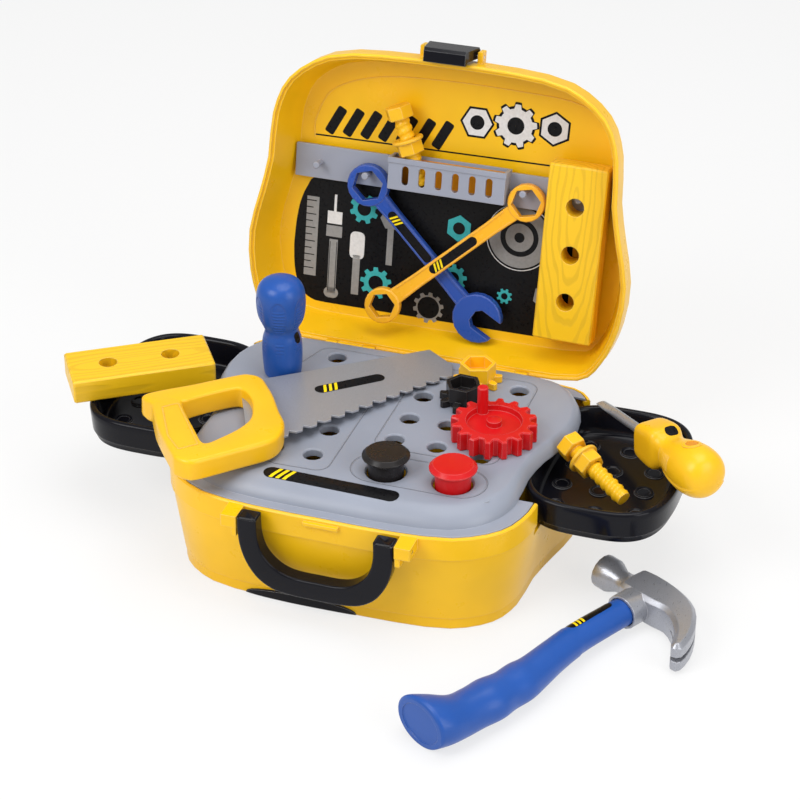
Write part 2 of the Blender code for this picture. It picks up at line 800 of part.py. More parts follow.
def lug_tab(side):
    """Tab below the front of a handle lug."""
    left, right = sorted((side * (LUG_INNER + CHAMFER), side * (LUG_INNER + LUG_TAB_WIDTH)))
    return block(left, right, LUG_FRONT + CHAMFER, LUG_TAB_BACK, LUG_TAB_BOTTOM, LUG_TOP - CHAMFER)


def across_x(radius, left, right, segments, y, z):
    """Cylinder along X between two places."""
    solid = along_x(lathe(((radius, left), (radius, right)), segments))
    return shifted(solid, y=y, z=z)


def hinge_spans():
    """Left and right ends of each base knuckle."""
    spans = []
    for side in (-1, 1):
        middle = side * HINGE_X
        spans.append((middle - HINGE_WIDTH / 2, middle - KNUCKLE_WIDTH / 2 - FIT))
        spans.append((middle + KNUCKLE_WIDTH / 2 + FIT, middle + HINGE_WIDTH / 2))
    return spans


def build_base():
    """Case base with its openings, pads, lugs and hinge knuckles."""
    base = piece("case_base", base_shell(), YELLOW, 0.32)
    carve(base, merged([side_opening(-1), side_opening(1)]), "side_openings")
    pads = [lathe(((PAD_RADIUS, FLOOR / 2), (PAD_RADIUS, PAD_HEIGHT)), HOLE_SEGMENTS, spot)
            for spot in post_spots()]
    fuse(base, merged(pads), "pads")
    seats = []
    for spot in post_spots():
        seats.append(lathe((
            (SCREW_HEAD_RADIUS + FIT, -BITE), (SCREW_HEAD_RADIUS + FIT, SCREW_SEAT_DEPTH),
            (SCREW_SHANK_RADIUS + FIT, SCREW_SEAT_DEPTH),
            (SCREW_SHANK_RADIUS + FIT, PAD_HEIGHT + BITE),
        ), SMALL_SEGMENTS, spot))
    carve(base, merged(seats), "screw_seats")
    fuse(base, merged([handle_lug(-1), handle_lug(1)]), "lugs")
    fuse(base, merged([lug_tab(-1), lug_tab(1)]), "lug_tabs")
    catch = block(-CATCH_HALF, CATCH_HALF, CATCH_FRONT, LUG_BACK, CATCH_BOTTOM, CATCH_TOP, CHAMFER)
    fuse(base, catch, "catch")
    bores = [
        across_x(HANDLE_PIN_RADIUS + PIN_FIT, *sorted((side * (LUG_INNER - BITE), side * (LUG_OUTER + BITE))),
                 HOLE_SEGMENTS, HANDLE_PIVOT_Y, HANDLE_PIVOT_Z)
        for side in (-1, 1)
    ]
    carve(base, merged(bores), "pin_bores")
    reliefs = [
        across_x(KNUCKLE_RADIUS + KNUCKLE_CLEAR, side * HINGE_X - KNUCKLE_WIDTH / 2 - FIT / 2,
                 side * HINGE_X + KNUCKLE_WIDTH / 2 + FIT / 2, HOLE_SEGMENTS, HINGE_Y, HINGE_Z)
        for side in (-1, 1)
    ]
    knuckles = [across_x(KNUCKLE_RADIUS, left, right, HOLE_SEGMENTS, HINGE_Y, HINGE_Z)
                for left, right in hinge_spans()]
    fuse(base, merged(knuckles), "knuckles")
    carve(base, merged(reliefs), "knuckle_reliefs")
    carve(base, merged(hinge_bores(HINGE_Y, HINGE_Z)), "hinge_bores")


def hinge_bores(y, z):
    """Bores of both hinges along X."""
    reach = HINGE_WIDTH / 2 + BITE
    return [
        across_x(HINGE_PIN_RADIUS + PIN_FIT, side * HINGE_X - reach, side * HINGE_X + reach,
                 HOLE_SEGMENTS, y, z)
        for side in (-1, 1)
    ]


def build_deck():
    """Shelf inside the case on which the trays slide."""
    loop = inset(case_loop(OUTLINE_SHARES), DECK_INSET)
    top = OPENING_FLOOR + DECK_THICK
    deck = piece("tray_deck", prism(loop, OPENING_FLOOR, top), YELLOW, 0.40)
    reach = OPENING_OUTER
    carve(deck, block(-reach, reach, -HALF_DEPTH - reach, DECK_FRONT, OPENING_FLOOR - BITE, top + BITE),
          "front_cut")
    spots = [(BLUE_DRIVER_X, BLUE_DRIVER_Y)] + [spot for spot in post_spots() if spot[1] > 0]
    holes = [
        lathe(((DECK_HOLE_RADIUS, OPENING_FLOOR - BITE), (DECK_HOLE_RADIUS, top + BITE)), HOLE_SEGMENTS, spot)
        for spot in spots
    ]
    carve(deck, merged(holes), "holes")


def build_foot():
    """Crescent pad on the front of the skirt."""
    half = (FOOT_RIGHT - FOOT_LEFT) / 2
    middle = (FOOT_RIGHT + FOOT_LEFT) / 2
    loop = inset(case_loop(OUTLINE_SHARES), SKIRT_INSET)
    front = [p for p in loop if p.y < 0]
    rings = []
    for step in range(FOOT_STEPS + 1):
        turn = math.pi * step / FOOT_STEPS
        x = middle - half * math.cos(turn)
        near = sorted(front, key=lambda p: abs(p.x - x))[:2]
        first, second = sorted(near, key=lambda p: p.x)
        share = (x - first.x) / (second.x - first.x)
        wall = first.y + (second.y - first.y) * share - FIT
        bulge = CHAMFER + (FOOT_THICK - CHAMFER) * math.sin(turn)
        height = RIM_ROUND + CHAMFER + (FOOT_HEIGHT - RIM_ROUND - CHAMFER) * math.sin(turn)
        low = RIM_ROUND
        rings.append([(x, wall, low), (x, wall, height), (x, wall - bulge, height - CHAMFER / 2),
                      (x, wall - bulge, low + CHAMFER / 2)])
    rings = [list(reversed(ring)) for ring in rings]
    piece("front_foot", loft(rings), BLACK, 0.25)


# Bench plate


def shoulder_rings():
    """Rings of the raised bench, outer side, from foot to top."""
    foot = case_loop(BENCH_FOOT_SHARES)
    top = case_loop(BENCH_TOP_SHARES)
    return [(blend(foot, top, across), RIM_HEIGHT + BENCH_RISE * up) for across, up in SHOULDER_SHARES]


def bench_shell():
    """Raised plate with a sloping shoulder and a flat flange that lies in the rim."""
    rim = case_loop(OUTLINE_SHARES)
    outer = shoulder_rings()
    inner = []
    for loop, height in (outer[-1], outer[-2], outer[1]):
        rise = (height - RIM_HEIGHT) / BENCH_RISE
        inner.append(at_height(inset(loop, BENCH_SHELL * (1 - rise / 2)),
                               height - BENCH_SHELL + (BENCH_SHELL - FLANGE_THICK) * (1 - rise)))
    flange_low = RIM_HEIGHT - FLANGE_THICK
    inner.append(at_height(inset(outer[0][0], BENCH_SHELL), flange_low))
    edge = [
        at_height(inset(rim, FLANGE_INSET), flange_low),
        at_height(inset(rim, FLANGE_INSET), RIM_HEIGHT - FLANGE_PROUD),
        at_height(inset(rim, FLANGE_INSET + CHAMFER), RIM_HEIGHT + FLANGE_PROUD),
    ]
    return loft(inner + edge + [at_height(loop, height) for loop, height in outer])


def bench_hole_spots():
    """Places of all round tool holes, gear seats and the screwdriver hole."""
    gears = ((RED_GEAR_X, RED_GEAR_Y), (BLACK_GEAR_X, BLACK_GEAR_Y), (YELLOW_GEAR_X, YELLOW_GEAR_Y))
    return list(HOLE_SPOTS) + list(gears) + [(BLUE_DRIVER_X, BLUE_DRIVER_Y)]


def build_bench():
    """Bench plate with collared holes, button holes, posts, rocker lugs and tray cut-outs."""
    top = RIM_HEIGHT + BENCH_RISE
    bench = piece("bench_plate", bench_shell(), GREY, 0.42)
    cuts = []
    for side in (-1, 1):
        left, right = sorted((side * OPENING_INNER, side * OPENING_OUTER))
        cuts.append(block(left, right, OPENING_FRONT, OPENING_REAR, OPENING_FLOOR, TRAY_TOP + TRAY_HEADROOM))
    carve(bench, merged(cuts), "tray_cuts")
    post = ((POST_RADIUS, PAD_HEIGHT + FIT), (POST_RADIUS, top - BENCH_SHELL / 2))
    posts = [lathe(post, HOLE_SEGMENTS, spot) for spot in post_spots()]
    fuse(bench, merged(posts), "posts")
    wide = HOLE_RADIUS + COLLAR_WALL
    collar = ((wide, top - COLLAR_DEPTH), (wide, top - BENCH_SHELL / 2))
    collars = [lathe(collar, HOLE_SEGMENTS, spot) for spot in bench_hole_spots()]
    fuse(bench, merged(collars), "collars")
    middle = (BLACK_BUTTON_X + RED_BUTTON_X) / 2
    lugs = [
        block(middle - ROCKER_LUG_HALF, middle + ROCKER_LUG_HALF, BUTTON_Y + near, BUTTON_Y + far,
              ROCKER_LUG_BOTTOM, top - BENCH_SHELL / 2, CHAMFER)
        for near, far in ((ROCKER_LUG_NEAR, ROCKER_LUG_FAR), (-ROCKER_LUG_FAR, -ROCKER_LUG_NEAR))
    ]
    fuse(bench, merged(lugs), "rocker_lugs")
    holes = [
        lathe((
            (HOLE_RADIUS, top - COLLAR_DEPTH - BITE), (HOLE_RADIUS, top - HOLE_CHAMFER),
            (HOLE_RADIUS + HOLE_CHAMFER, top), (HOLE_RADIUS + HOLE_CHAMFER, top + BITE),
        ), HOLE_SEGMENTS, spot)
        for spot in bench_hole_spots()
    ]
    holes += [
        lathe((
            (BUTTON_HOLE_RADIUS, top - BENCH_SHELL - BITE), (BUTTON_HOLE_RADIUS, top - BUTTON_HOLE_CHAMFER),
            (BUTTON_HOLE_RADIUS + BUTTON_HOLE_CHAMFER, top),
            (BUTTON_HOLE_RADIUS + BUTTON_HOLE_CHAMFER, top + BITE),
        ), 2 * HOLE_SEGMENTS, (x, BUTTON_Y))
        for x in (BLACK_BUTTON_X, RED_BUTTON_X)
    ]
    carve(bench, merged(holes), "holes")
    pilot = (
        (POST_PILOT_RADIUS, PAD_HEIGHT + FIT - BITE), (POST_PILOT_RADIUS, PAD_HEIGHT + POST_PILOT_DEPTH),
    )
    pilots = [lathe(pilot, SMALL_SEGMENTS, spot) for spot in post_spots()]
    carve(bench, merged(pilots), "pilots")
    bore = across_y(ROCKER_PIN_RADIUS + PIN_FIT, BUTTON_Y - ROCKER_PIN_HALF, BUTTON_Y + ROCKER_PIN_HALF,
                    middle, ROCKER_TOP - ROCKER_THICK / 2)
    carve(bench, bore, "rocker_bore")


def across_y(radius, front, rear, x, z):
    """Cylinder along Y between two places."""
    return shifted(along_y(lathe(((radius, front), (radius, rear)), HOLE_SEGMENTS)), x=x, z=z)


def build_screws():
    """Four screws that pull the bench posts onto the base pads from below."""
    for number, (x, y) in enumerate(post_spots(), 1):
        profile = (
            (SCREW_HEAD_RADIUS - CHAMFER, SCREW_SINK), (SCREW_HEAD_RADIUS, SCREW_SINK + CHAMFER),
            (SCREW_HEAD_RADIUS, SCREW_SINK + SCREW_HEAD_HEIGHT),
            (SCREW_SHANK_RADIUS, SCREW_SINK + SCREW_HEAD_HEIGHT),
            (SCREW_SHANK_RADIUS, SCREW_LENGTH), (SCREW_SHANK_RADIUS / 2, SCREW_LENGTH + SCREW_SHANK_RADIUS),
        )
        screw = piece("bench_screw_%d" % number, lathe(profile, SMALL_SEGMENTS), STEEL, 0.30, metallic=1.0)
        screw.location = (x, y, 0)


# Lid and what it carries


def lid_loop(amount):
    """Case outline as seen from the hinge axis, moved inward."""
    return [Vector((p.x, p.y - HINGE_Y)) for p in inset(case_loop(OUTLINE_SHARES), amount)]


def lid_shell():
    """Shallow cover with a stepped lip, sloping walls and a rounded top."""
    rings = (
        (LID_WALL_FOOT + LID_FILLET + LID_TOP_ROUND, LID_PANEL),
        (LID_WALL_FOOT + LID_FILLET / 2, LID_PANEL - RIM_ROUND),
        (LID_WALL_FOOT, LID_PANEL - LID_FILLET),
        (LID_LEDGE, LID_REBATE),
        (LID_LIP, LID_REBATE),
        (LID_LIP, LID_GAP),
        (RIM_ROUND, LID_GAP),
        (0.0, LID_GAP + RIM_ROUND),
        (0.0, LID_BAND),
        (BAND_STEP, LID_BAND + CHAMFER),
        (LID_TOP_INSET, LID_DEPTH - LID_TOP_ROUND),
        (LID_TOP_INSET + LID_TOP_ROUND / 2, LID_DEPTH - CHAMFER),
        (LID_TOP_INSET + 2 * LID_TOP_ROUND, LID_DEPTH),
    )
    return loft([at_height(lid_loop(amount), height) for amount, height in rings])


def in_lid(x, v, w):
    """Place in the lid's own frame from its panel coordinates."""
    return Vector((x, -v, w))


def lid_block(left, right, low, high, near, far, corner=0.0):
    """Box in panel coordinates."""
    return block(left, right, -high, -low, near, far, corner)


def build_lid(hinge):
    """Lid shell with knuckles, notches and latch lugs."""
    lid = piece("lid_shell", lid_shell(), YELLOW, 0.32, hinge)
    notches = [across_x(KNUCKLE_RADIUS + KNUCKLE_CLEAR, left - FIT / 2, right + FIT / 2, HOLE_SEGMENTS, 0, 0)
               for left, right in hinge_spans()]
    carve(lid, merged(notches), "notches")
    knuckles = [
        across_x(KNUCKLE_RADIUS, side * HINGE_X - KNUCKLE_WIDTH / 2, side * HINGE_X + KNUCKLE_WIDTH / 2,
                 HOLE_SEGMENTS, 0, 0)
        for side in (-1, 1)
    ]
    fuse(lid, merged(knuckles), "knuckles")
    carve(lid, merged(hinge_bores(0, 0)), "hinge_bores")
    edge = HINGE_Y + HALF_DEPTH
    reach = LATCH_HALF_WIDTH + LATCH_GAP
    lugs = []
    for left, right in ((-reach - LATCH_LUG_WIDTH, -reach), (reach, reach + LATCH_LUG_WIDTH)):
        lugs.append(lid_block(left, right, edge - WALL, edge + LATCH_PIN_OFF + LATCH_LUG_HALF,
                              LATCH_PIN_W - LATCH_LUG_HALF, LATCH_PIN_W + LATCH_LUG_HALF, CHAMFER))
    fuse(lid, merged(lugs), "latch_lugs")
    far = reach + LATCH_LUG_WIDTH + BITE
    bore = across_x(LATCH_PIN_RADIUS + PIN_FIT, -far, far, HOLE_SEGMENTS, -edge - LATCH_PIN_OFF, LATCH_PIN_W)
    carve(lid, bore, "latch_bore")


def build_hinge_pins():
    """Steel pins of the two hinges."""
    half = HINGE_WIDTH / 2 - HINGE_PIN_SHORT
    for side, name in ((-1, "left"), (1, "right")):
        pin = piece("hinge_pin_" + name, along_x(lathe(((HINGE_PIN_RADIUS, -half), (HINGE_PIN_RADIUS, half)),
                                                       HOLE_SEGMENTS)), STEEL, 0.30, metallic=1.0)
        pin.location = (side * HINGE_X, HINGE_Y, HINGE_Z)


def build_latch(hinge):
    """Latch that turns on a pin and hooks under the catch bar when the lid is closed."""
    edge = HINGE_Y + HALF_DEPTH
    turn = pivot("latch_turn", in_lid(0, edge + LATCH_PIN_OFF, LATCH_PIN_W), parent=hinge)
    inner = LATCH_PIN_OFF - LATCH_GAP
    outer = LATCH_THICK - inner
    low = LATCH_BOTTOM - LATCH_PIN_W
    high = LATCH_TOP - LATCH_PIN_W
    hook = LATCH_HOOK_TOP - LATCH_PIN_W
    side = (
        (inner, low), (inner, hook), (inner - LATCH_HOOK, hook + LATCH_HOOK), (inner - LATCH_HOOK, high / 2),
        (inner - LATCH_HOOK, high - CHAMFER), (inner - LATCH_HOOK - CHAMFER, high),
        (-outer + LATCH_HOOK, high), (-outer, high - LATCH_HOOK), (-outer, low + LATCH_HOOK),
        (-outer + LATCH_HOOK, low),
    )
    rings = []
    for share in (-1, 1):
        ring = []
        for y, z in reversed(side):
            half = LATCH_HALF_WIDTH - LATCH_TAPER * (high - z) / (high - low)
            ring.append((share * half, y, z))
        rings.append(ring)
    latch = piece("latch", loft([list(reversed(rings[0])), list(reversed(rings[1]))]), BLACK, 0.25, turn)
    bore = across_x(LATCH_PIN_RADIUS + PIN_FIT, -LATCH_HALF_WIDTH - BITE, LATCH_HALF_WIDTH + BITE,
                    HOLE_SEGMENTS, 0, 0)
    carve(latch, bore, "bore")
    reach = LATCH_HALF_WIDTH + LATCH_GAP + LATCH_LUG_WIDTH
    solid = along_x(lathe(((LATCH_PIN_RADIUS, -reach), (LATCH_PIN_RADIUS, reach)), HOLE_SEGMENTS))
    pin = piece("latch_pin", solid, STEEL, 0.30, hinge, metallic=1.0)
    pin.location = in_lid(0, edge + LATCH_PIN_OFF, LATCH_PIN_W)


def rack_peg(x, v):
    """Headed peg that stands out from the rack."""
    solid = lathe((
        (PEG_HEAD_RADIUS - CHAMFER, PEG_FRONT), (PEG_HEAD_RADIUS, PEG_FRONT + CHAMFER),
        (PEG_HEAD_RADIUS, PEG_FRONT + PEG_HEAD), (PEG_RADIUS, PEG_FRONT + PEG_HEAD),
        (PEG_RADIUS, (RACK_FRONT + RACK_BACK) / 2),
    ), HOLE_SEGMENTS, (x, -v))
    return solid


def build_rack(hinge):
    """Ledge across the lid with a slotted pocket and four pegs."""
    ledge = lid_block(-RACK_HALF, RACK_HALF, RACK_LOW, RACK_HIGH, RACK_FRONT, RACK_BACK, CHAMFER)
    rack = piece("tool_rack", ledge, RACK_GREY, 0.40, hinge)
    rib = RACK_RIB_HALF
    ribs = [
        lid_block(x - rib, x + rib, RACK_LOW + rib, RACK_HIGH - rib, (RACK_FRONT + RACK_BACK) / 2, RACK_RIB_BACK)
        for x in (-RACK_RIB_X, RACK_RIB_X)
    ]
    pocket = lid_block(POCKET_LEFT, POCKET_RIGHT, POCKET_LOW, POCKET_HIGH, POCKET_FRONT,
                       (RACK_FRONT + RACK_BACK) / 2, CHAMFER)
    fuse(rack, merged([pocket] + ribs), "pocket")
    lip = lid_block(POCKET_LEFT - POCKET_LIP_PROUD, POCKET_RIGHT + POCKET_LIP_PROUD, POCKET_HIGH - POCKET_LIP,
                    POCKET_HIGH + POCKET_LIP_PROUD, POCKET_FRONT - POCKET_LIP_PROUD,
                    (RACK_FRONT + RACK_BACK) / 2)
    fuse(rack, lip, "lip")
    cavity = lid_block(POCKET_LEFT + POCKET_WALL, POCKET_RIGHT - POCKET_WALL, POCKET_LOW + POCKET_WALL,
                       RACK_HIGH + POCKET_LIP, POCKET_FRONT + POCKET_WALL, RACK_FRONT)
    carve(rack, cavity, "cavity")
    slots = [
        prism([Vector((SLOT_FIRST + k * SLOT_PITCH + p.x, p.y)) for p in slot_outline()],
              POCKET_FRONT - POCKET_WALL, POCKET_FRONT + POCKET_WALL + BITE)
        for k in range(SLOT_COUNT)
    ]
    carve(rack, merged(slots), "slots")
    fuse(rack, merged([rack_peg(x, v) for x, v in PEG_SPOTS]), "pegs")


def slot_outline():
    """Long slot with round ends, in the lid's frame."""
    loop = []
    for start, middle in ((0.0, -SLOT_LOW - SLOT_HALF), (math.pi, -SLOT_HIGH + SLOT_HALF)):
        for k in range(SLOT_END_STEPS + 1):
            turn = start + math.pi * k / SLOT_END_STEPS
            loop.append(Vector((SLOT_HALF * math.cos(turn), middle + SLOT_HALF * math.sin(turn))))
    return loop


# Handle


def build_handle():
    """Carry handle on two pins, hanging in front of the case."""
    turn = pivot("handle_turn", (0, HANDLE_PIVOT_Y, HANDLE_PIVOT_Z))
    outer = [(x * HANDLE_OUTER_HALF, z * HANDLE_HEIGHT) for x, z in HANDLE_OUTER_SHARES]
    inner = [(x * HANDLE_OUTER_HALF, z * HANDLE_HEIGHT) for x, z in HANDLE_INNER_SHARES]
    under = [Vector((-x, z)) for x, z in outer] + [Vector((x, z)) for x, z in reversed(outer[:-1])]
    over = [Vector((x, z)) for x, z in reversed(inner)] + [Vector((-x, z)) for x, z in inner[1:]]
    shape = under + over
    half = HANDLE_THICK / 2
    rings = []
    for amount, depth in rounded_sides(HANDLE_ROUND, half):
        rings.append([(p.x, depth, p.y) for p in inset(shape, amount)])
    solid = loft([list(reversed(ring)) for ring in rings])
    handle = piece("carry_handle", solid, BLACK, 0.18, turn)
    bores = []
    for side in (-1, 1):
        ends = sorted((side * (HANDLE_OUTER_HALF - HANDLE_THICK), side * (HANDLE_OUTER_HALF + BITE)))
        bores.append(across_x(HANDLE_PIN_RADIUS + PIN_FIT, *ends, HOLE_SEGMENTS, 0, 0))
    carve(handle, merged(bores), "pin_bores")
    outer_end = LUG_OUTER - FIT
    profile = ((HANDLE_PIN_RADIUS, 0.0), (HANDLE_PIN_RADIUS, HANDLE_PIN_LENGTH))
    for side, name in ((-1, "left"), (1, "right")):
        solid = along_x(lathe(profile, HOLE_SEGMENTS))
        pin = piece("handle_pin_" + name, solid, STEEL, 0.30, metallic=1.0)
        start = min(side * outer_end, side * (outer_end - HANDLE_PIN_LENGTH))
        pin.location = (start, HANDLE_PIVOT_Y, HANDLE_PIVOT_Z)


# Trays


def tray_loop(amount):
    """Rounded-square outline of a tray about its centre."""
    loop = []
    for k in range(TRAY_POINTS):
        turn = 2 * math.pi * k / TRAY_POINTS
        c, s = math.cos(turn), math.sin(turn)
        loop.append(Vector((
            TRAY_HALF_X * math.copysign(abs(c) ** (2 / TRAY_POWER), c),
            TRAY_HALF_Y * math.copysign(abs(s) ** (2 / TRAY_POWER), s),
        )))
    return inset(loop, amount)


def tray_shell():
    """Shallow dish with a rounded rim and an inset band at its foot."""
    rings = (
        (TRAY_BAND_INSET + TRAY_EDGE, TRAY_BOTTOM),
        (TRAY_BAND_INSET, TRAY_BOTTOM + TRAY_EDGE),
        (TRAY_BAND_INSET, TRAY_BOTTOM + TRAY_BAND),
        (TRAY_TAPER, TRAY_BOTTOM + TRAY_BAND + CHAMFER),
        (0.0, TRAY_TOP - TRAY_EDGE),
        (TRAY_EDGE, TRAY_TOP),
        (TRAY_RIM_IN, TRAY_TOP),
        (TRAY_RIM_IN + TRAY_EDGE, TRAY_TOP - TRAY_RIM_DROP),
        (TRAY_DISH_INSET, TRAY_FLOOR + TRAY_FLOOR_ROUND),
        (TRAY_DISH_INSET + TRAY_FLOOR_ROUND, TRAY_FLOOR),
    )
    return loft([at_height(tray_loop(amount), height) for amount, height in rings])


def build_tray(side, name):
    """Slide-in tray with round pads on its floor."""
    slide = pivot("tray_slide_" + name, (side * TRAY_X, TRAY_Y, 0))
    tray = piece("tray_" + name, tray_shell(), BLACK, 0.12, slide)
    top = TRAY_FLOOR + TRAY_DISC_RISE
    profile = (
        (TRAY_DISC_RADIUS, TRAY_FLOOR - BITE), (TRAY_DISC_RADIUS, top - CHAMFER), (TRAY_DISC_RADIUS - CHAMFER, top),
    )
    discs = [
        lathe(profile, DISC_SEGMENTS, (side * x * TRAY_HALF_X, y * TRAY_HALF_Y)) for x, y in TRAY_DISC_SHARES
    ]
    fuse(tray, merged(discs), "discs")


# Buttons and rocker


def build_button(x, name, colour):
    """Mushroom button whose stem ends in a small nub."""
    low = BUTTON_STEM_BOTTOM
    cap = BUTTON_TOP - BUTTON_CAP_THICK
    profile = (
        (BUTTON_NUB_RADIUS, ROCKER_TOP + ROCKER_NUB_GAP), (BUTTON_NUB_RADIUS, low),
        (BUTTON_STEM_RADIUS - BUTTON_EDGE, low), (BUTTON_STEM_RADIUS, low + BUTTON_EDGE),
        (BUTTON_STEM_RADIUS, cap), (BUTTON_CAP_RADIUS - BUTTON_EDGE, cap),
        (BUTTON_CAP_RADIUS, cap + BUTTON_EDGE), (BUTTON_CAP_RADIUS, BUTTON_TOP - 2 * BUTTON_EDGE),
        (BUTTON_CAP_RADIUS - 2 * BUTTON_EDGE, BUTTON_TOP - BUTTON_EDGE / 4),
        (BUTTON_CAP_RADIUS / 2, BUTTON_TOP),
    )
    rise = pivot("button_rise_" + name, (x, BUTTON_Y, 0))
    piece("button_" + name, lathe(profile, 2 * HOLE_SEGMENTS), colour, 0.22, rise)


def build_rocker():
    """Rocker arm under both buttons and the pin on which it turns."""
    middle = (BLACK_BUTTON_X + RED_BUTTON_X) / 2
    half = (RED_BUTTON_X - BLACK_BUTTON_X) / 2 + ROCKER_OVERHANG
    height = ROCKER_TOP - ROCKER_THICK / 2
    turn = pivot("rocker_turn", (middle, BUTTON_Y, height))
    deep, thick = ROCKER_HALF_DEPTH, ROCKER_THICK / 2
    arm = block(-half, half, -deep, deep, -thick, thick, CHAMFER)
    rocker = piece("rocker", arm, RACK_GREY, 0.45, turn)
    carve(rocker, across_y(ROCKER_PIN_RADIUS + PIN_FIT, -deep - BITE, deep + BITE, 0, 0), "bore")
    pin_half = ROCKER_LUG_FAR
    pin = piece("rocker_pin", along_y(lathe(((ROCKER_PIN_RADIUS, -pin_half), (ROCKER_PIN_RADIUS, pin_half)),
                                            HOLE_SEGMENTS)), STEEL, 0.30, metallic=1.0)
    pin.location = (middle, BUTTON_Y, height)


# Gears


def toothed_loop(teeth, root, radius, shares, turn):
    """Toothed outline from one tooth's shares of the pitch and of the tooth height."""
    loop = []
    for tooth in range(teeth):
        for across, up in shares:
            angle = turn + 2 * math.pi * (tooth + across) / teeth
            size = root + (radius - root) * up
            loop.append(Vector((size * math.cos(angle), size * math.sin(angle))))
    return loop


def build_red_gear():
    """Crank gear with trapezoid teeth, a sunk face, a boss and a crank post."""
    low = RIM_HEIGHT + BENCH_RISE + GEAR_LIFT
    turn = pivot("gear_turn_red", (RED_GEAR_X, RED_GEAR_Y, low))
    teeth = toothed_loop(RED_GEAR_TEETH, RED_GEAR_ROOT, RED_GEAR_RADIUS, RED_TOOTH_SHARES, 0.0)
    step = [math.atan2(p.y, p.x) for p in teeth]

    def ring(radius):
        return [Vector((radius * math.cos(a), radius * math.sin(a))) for a in step]

    high = RED_GEAR_THICK
    dish = high - RED_DISH_DEPTH
    boss = dish + RED_BOSS_RISE
    rings = (
        (teeth, 0.0), (teeth, high - RED_GEAR_BEVEL), (inset(teeth, RED_GEAR_BEVEL), high),
        (ring(RED_DISH_RADIUS + RED_GEAR_BEVEL), high), (ring(RED_DISH_RADIUS), dish),
        (ring(RED_BOSS_RADIUS), dish), (ring(RED_BOSS_RADIUS), boss),
        (ring(RED_BOSS_RADIUS / 2), boss + RED_GEAR_BEVEL),
    )
    gear = piece("gear_red", loft([at_height(loop, height) for loop, height in rings]), RED, 0.25, turn)
    post = lathe((
        (CRANK_RADIUS, dish - BITE), (CRANK_RADIUS, CRANK_TOP - CHAMFER),
        (CRANK_RADIUS - CHAMFER, CRANK_TOP),
    ), HOLE_SEGMENTS, (CRANK_X, CRANK_Y))
    fuse(gear, merged([post, gear_hub()]), "crank_and_hub")


def gear_hub():
    """Stub under a gear that turns in a bench hole."""
    return lathe(((GEAR_HUB_RADIUS, -GEAR_HUB_DEPTH), (GEAR_HUB_RADIUS, BITE)), HOLE_SEGMENTS)


def hex_ring(radius, count, turn):
    """Hexagon of a flat-to-centre radius, drawn with many points."""
    loop = []
    for k in range(count):
        angle = turn + 2 * math.pi * k / count
        off = (angle - turn) % (math.pi / 3) - math.pi / 6
        size = radius / math.cos(off)
        loop.append(Vector((size * math.cos(angle), size * math.sin(angle))))
    return loop


def build_petal_gear(name, x, y, colour, petal_turn):
    """Gear with slim round petals and a hollow six-sided socket."""
    low = RIM_HEIGHT + BENCH_RISE + GEAR_LIFT
    turn = pivot("gear_turn_" + name, (x, y, low))
    petals = toothed_loop(PETAL_COUNT, PETAL_ROOT, PETAL_RADIUS, PETAL_SHARES, petal_turn)
    step = [math.atan2(p.y, p.x) for p in petals]

    def ring(radius):
        return [Vector((radius * math.cos(a), radius * math.sin(a))) for a in step]

    rings = (
        (petals, 0.0), (petals, PETAL_THICK), (ring(PETAL_ROOT - CHAMFER), PETAL_THICK + CHAMFER),
    )
    solid = loft([at_height(loop, height) for loop, height in rings])
    gear = piece("gear_" + name, solid, colour, 0.28, turn)
    tower = hex_ring(HEX_OUTER, 6, petal_turn + math.pi / 6)
    fuse(gear, merged([prism(tower, PETAL_THICK - BITE, PETAL_GEAR_HEIGHT), gear_hub()]), "tower_and_hub")
    socket = hex_ring(HEX_INNER, 6, petal_turn + math.pi / 6)
    carve(gear, prism(socket, PETAL_GEAR_HEIGHT - HEX_DEPTH, PETAL_GEAR_HEIGHT + BITE), "socket")


def gear_line():
    """Direction from the black gear's centre to the yellow one's."""
    return math.atan2(YELLOW_GEAR_Y - BLACK_GEAR_Y, YELLOW_GEAR_X - BLACK_GEAR_X)


# Loose tools


def spanner_frame(start, end):
    """Turn that lays X from the first head of a spanner to the second, and their distance."""
    run = Vector(end) - Vector(start)
    yaw = math.atan2(run.y, run.x)
    pitch = -math.asin(run.z / run.length)
    return (0, pitch, yaw), run.length


def build_spanner(name, hinge, start, rotation, length, colour, heads):
    """Flat spanner with a waisted shaft between two heads; returns the piece."""
    turn = pivot(name + "_place", start, rotation, hinge)
    wide, slim = SPANNER_SHAFT_HALF, SPANNER_WAIST_HALF
    shaft = [
        Vector(p) for p in (
            (0, -wide), (length / 4, -slim), (length * 3 / 4, -slim), (length, -wide),
            (length, wide), (length * 3 / 4, slim), (length / 4, slim), (0, wide),
        )
    ]
    half = SPANNER_HALF_THICK
    item = piece(name, prism(shaft, -half, half, SPANNER_ROUND), colour, 0.28, turn)
    tall = half + SPANNER_ROUND
    for number, (x, radius) in enumerate(heads, 1):
        head = prism(circle(radius, SPANNER_SEGMENTS, (x, 0)), -tall, tall, SPANNER_ROUND)
        fuse(item, head, "head_%d" % number)
    return item


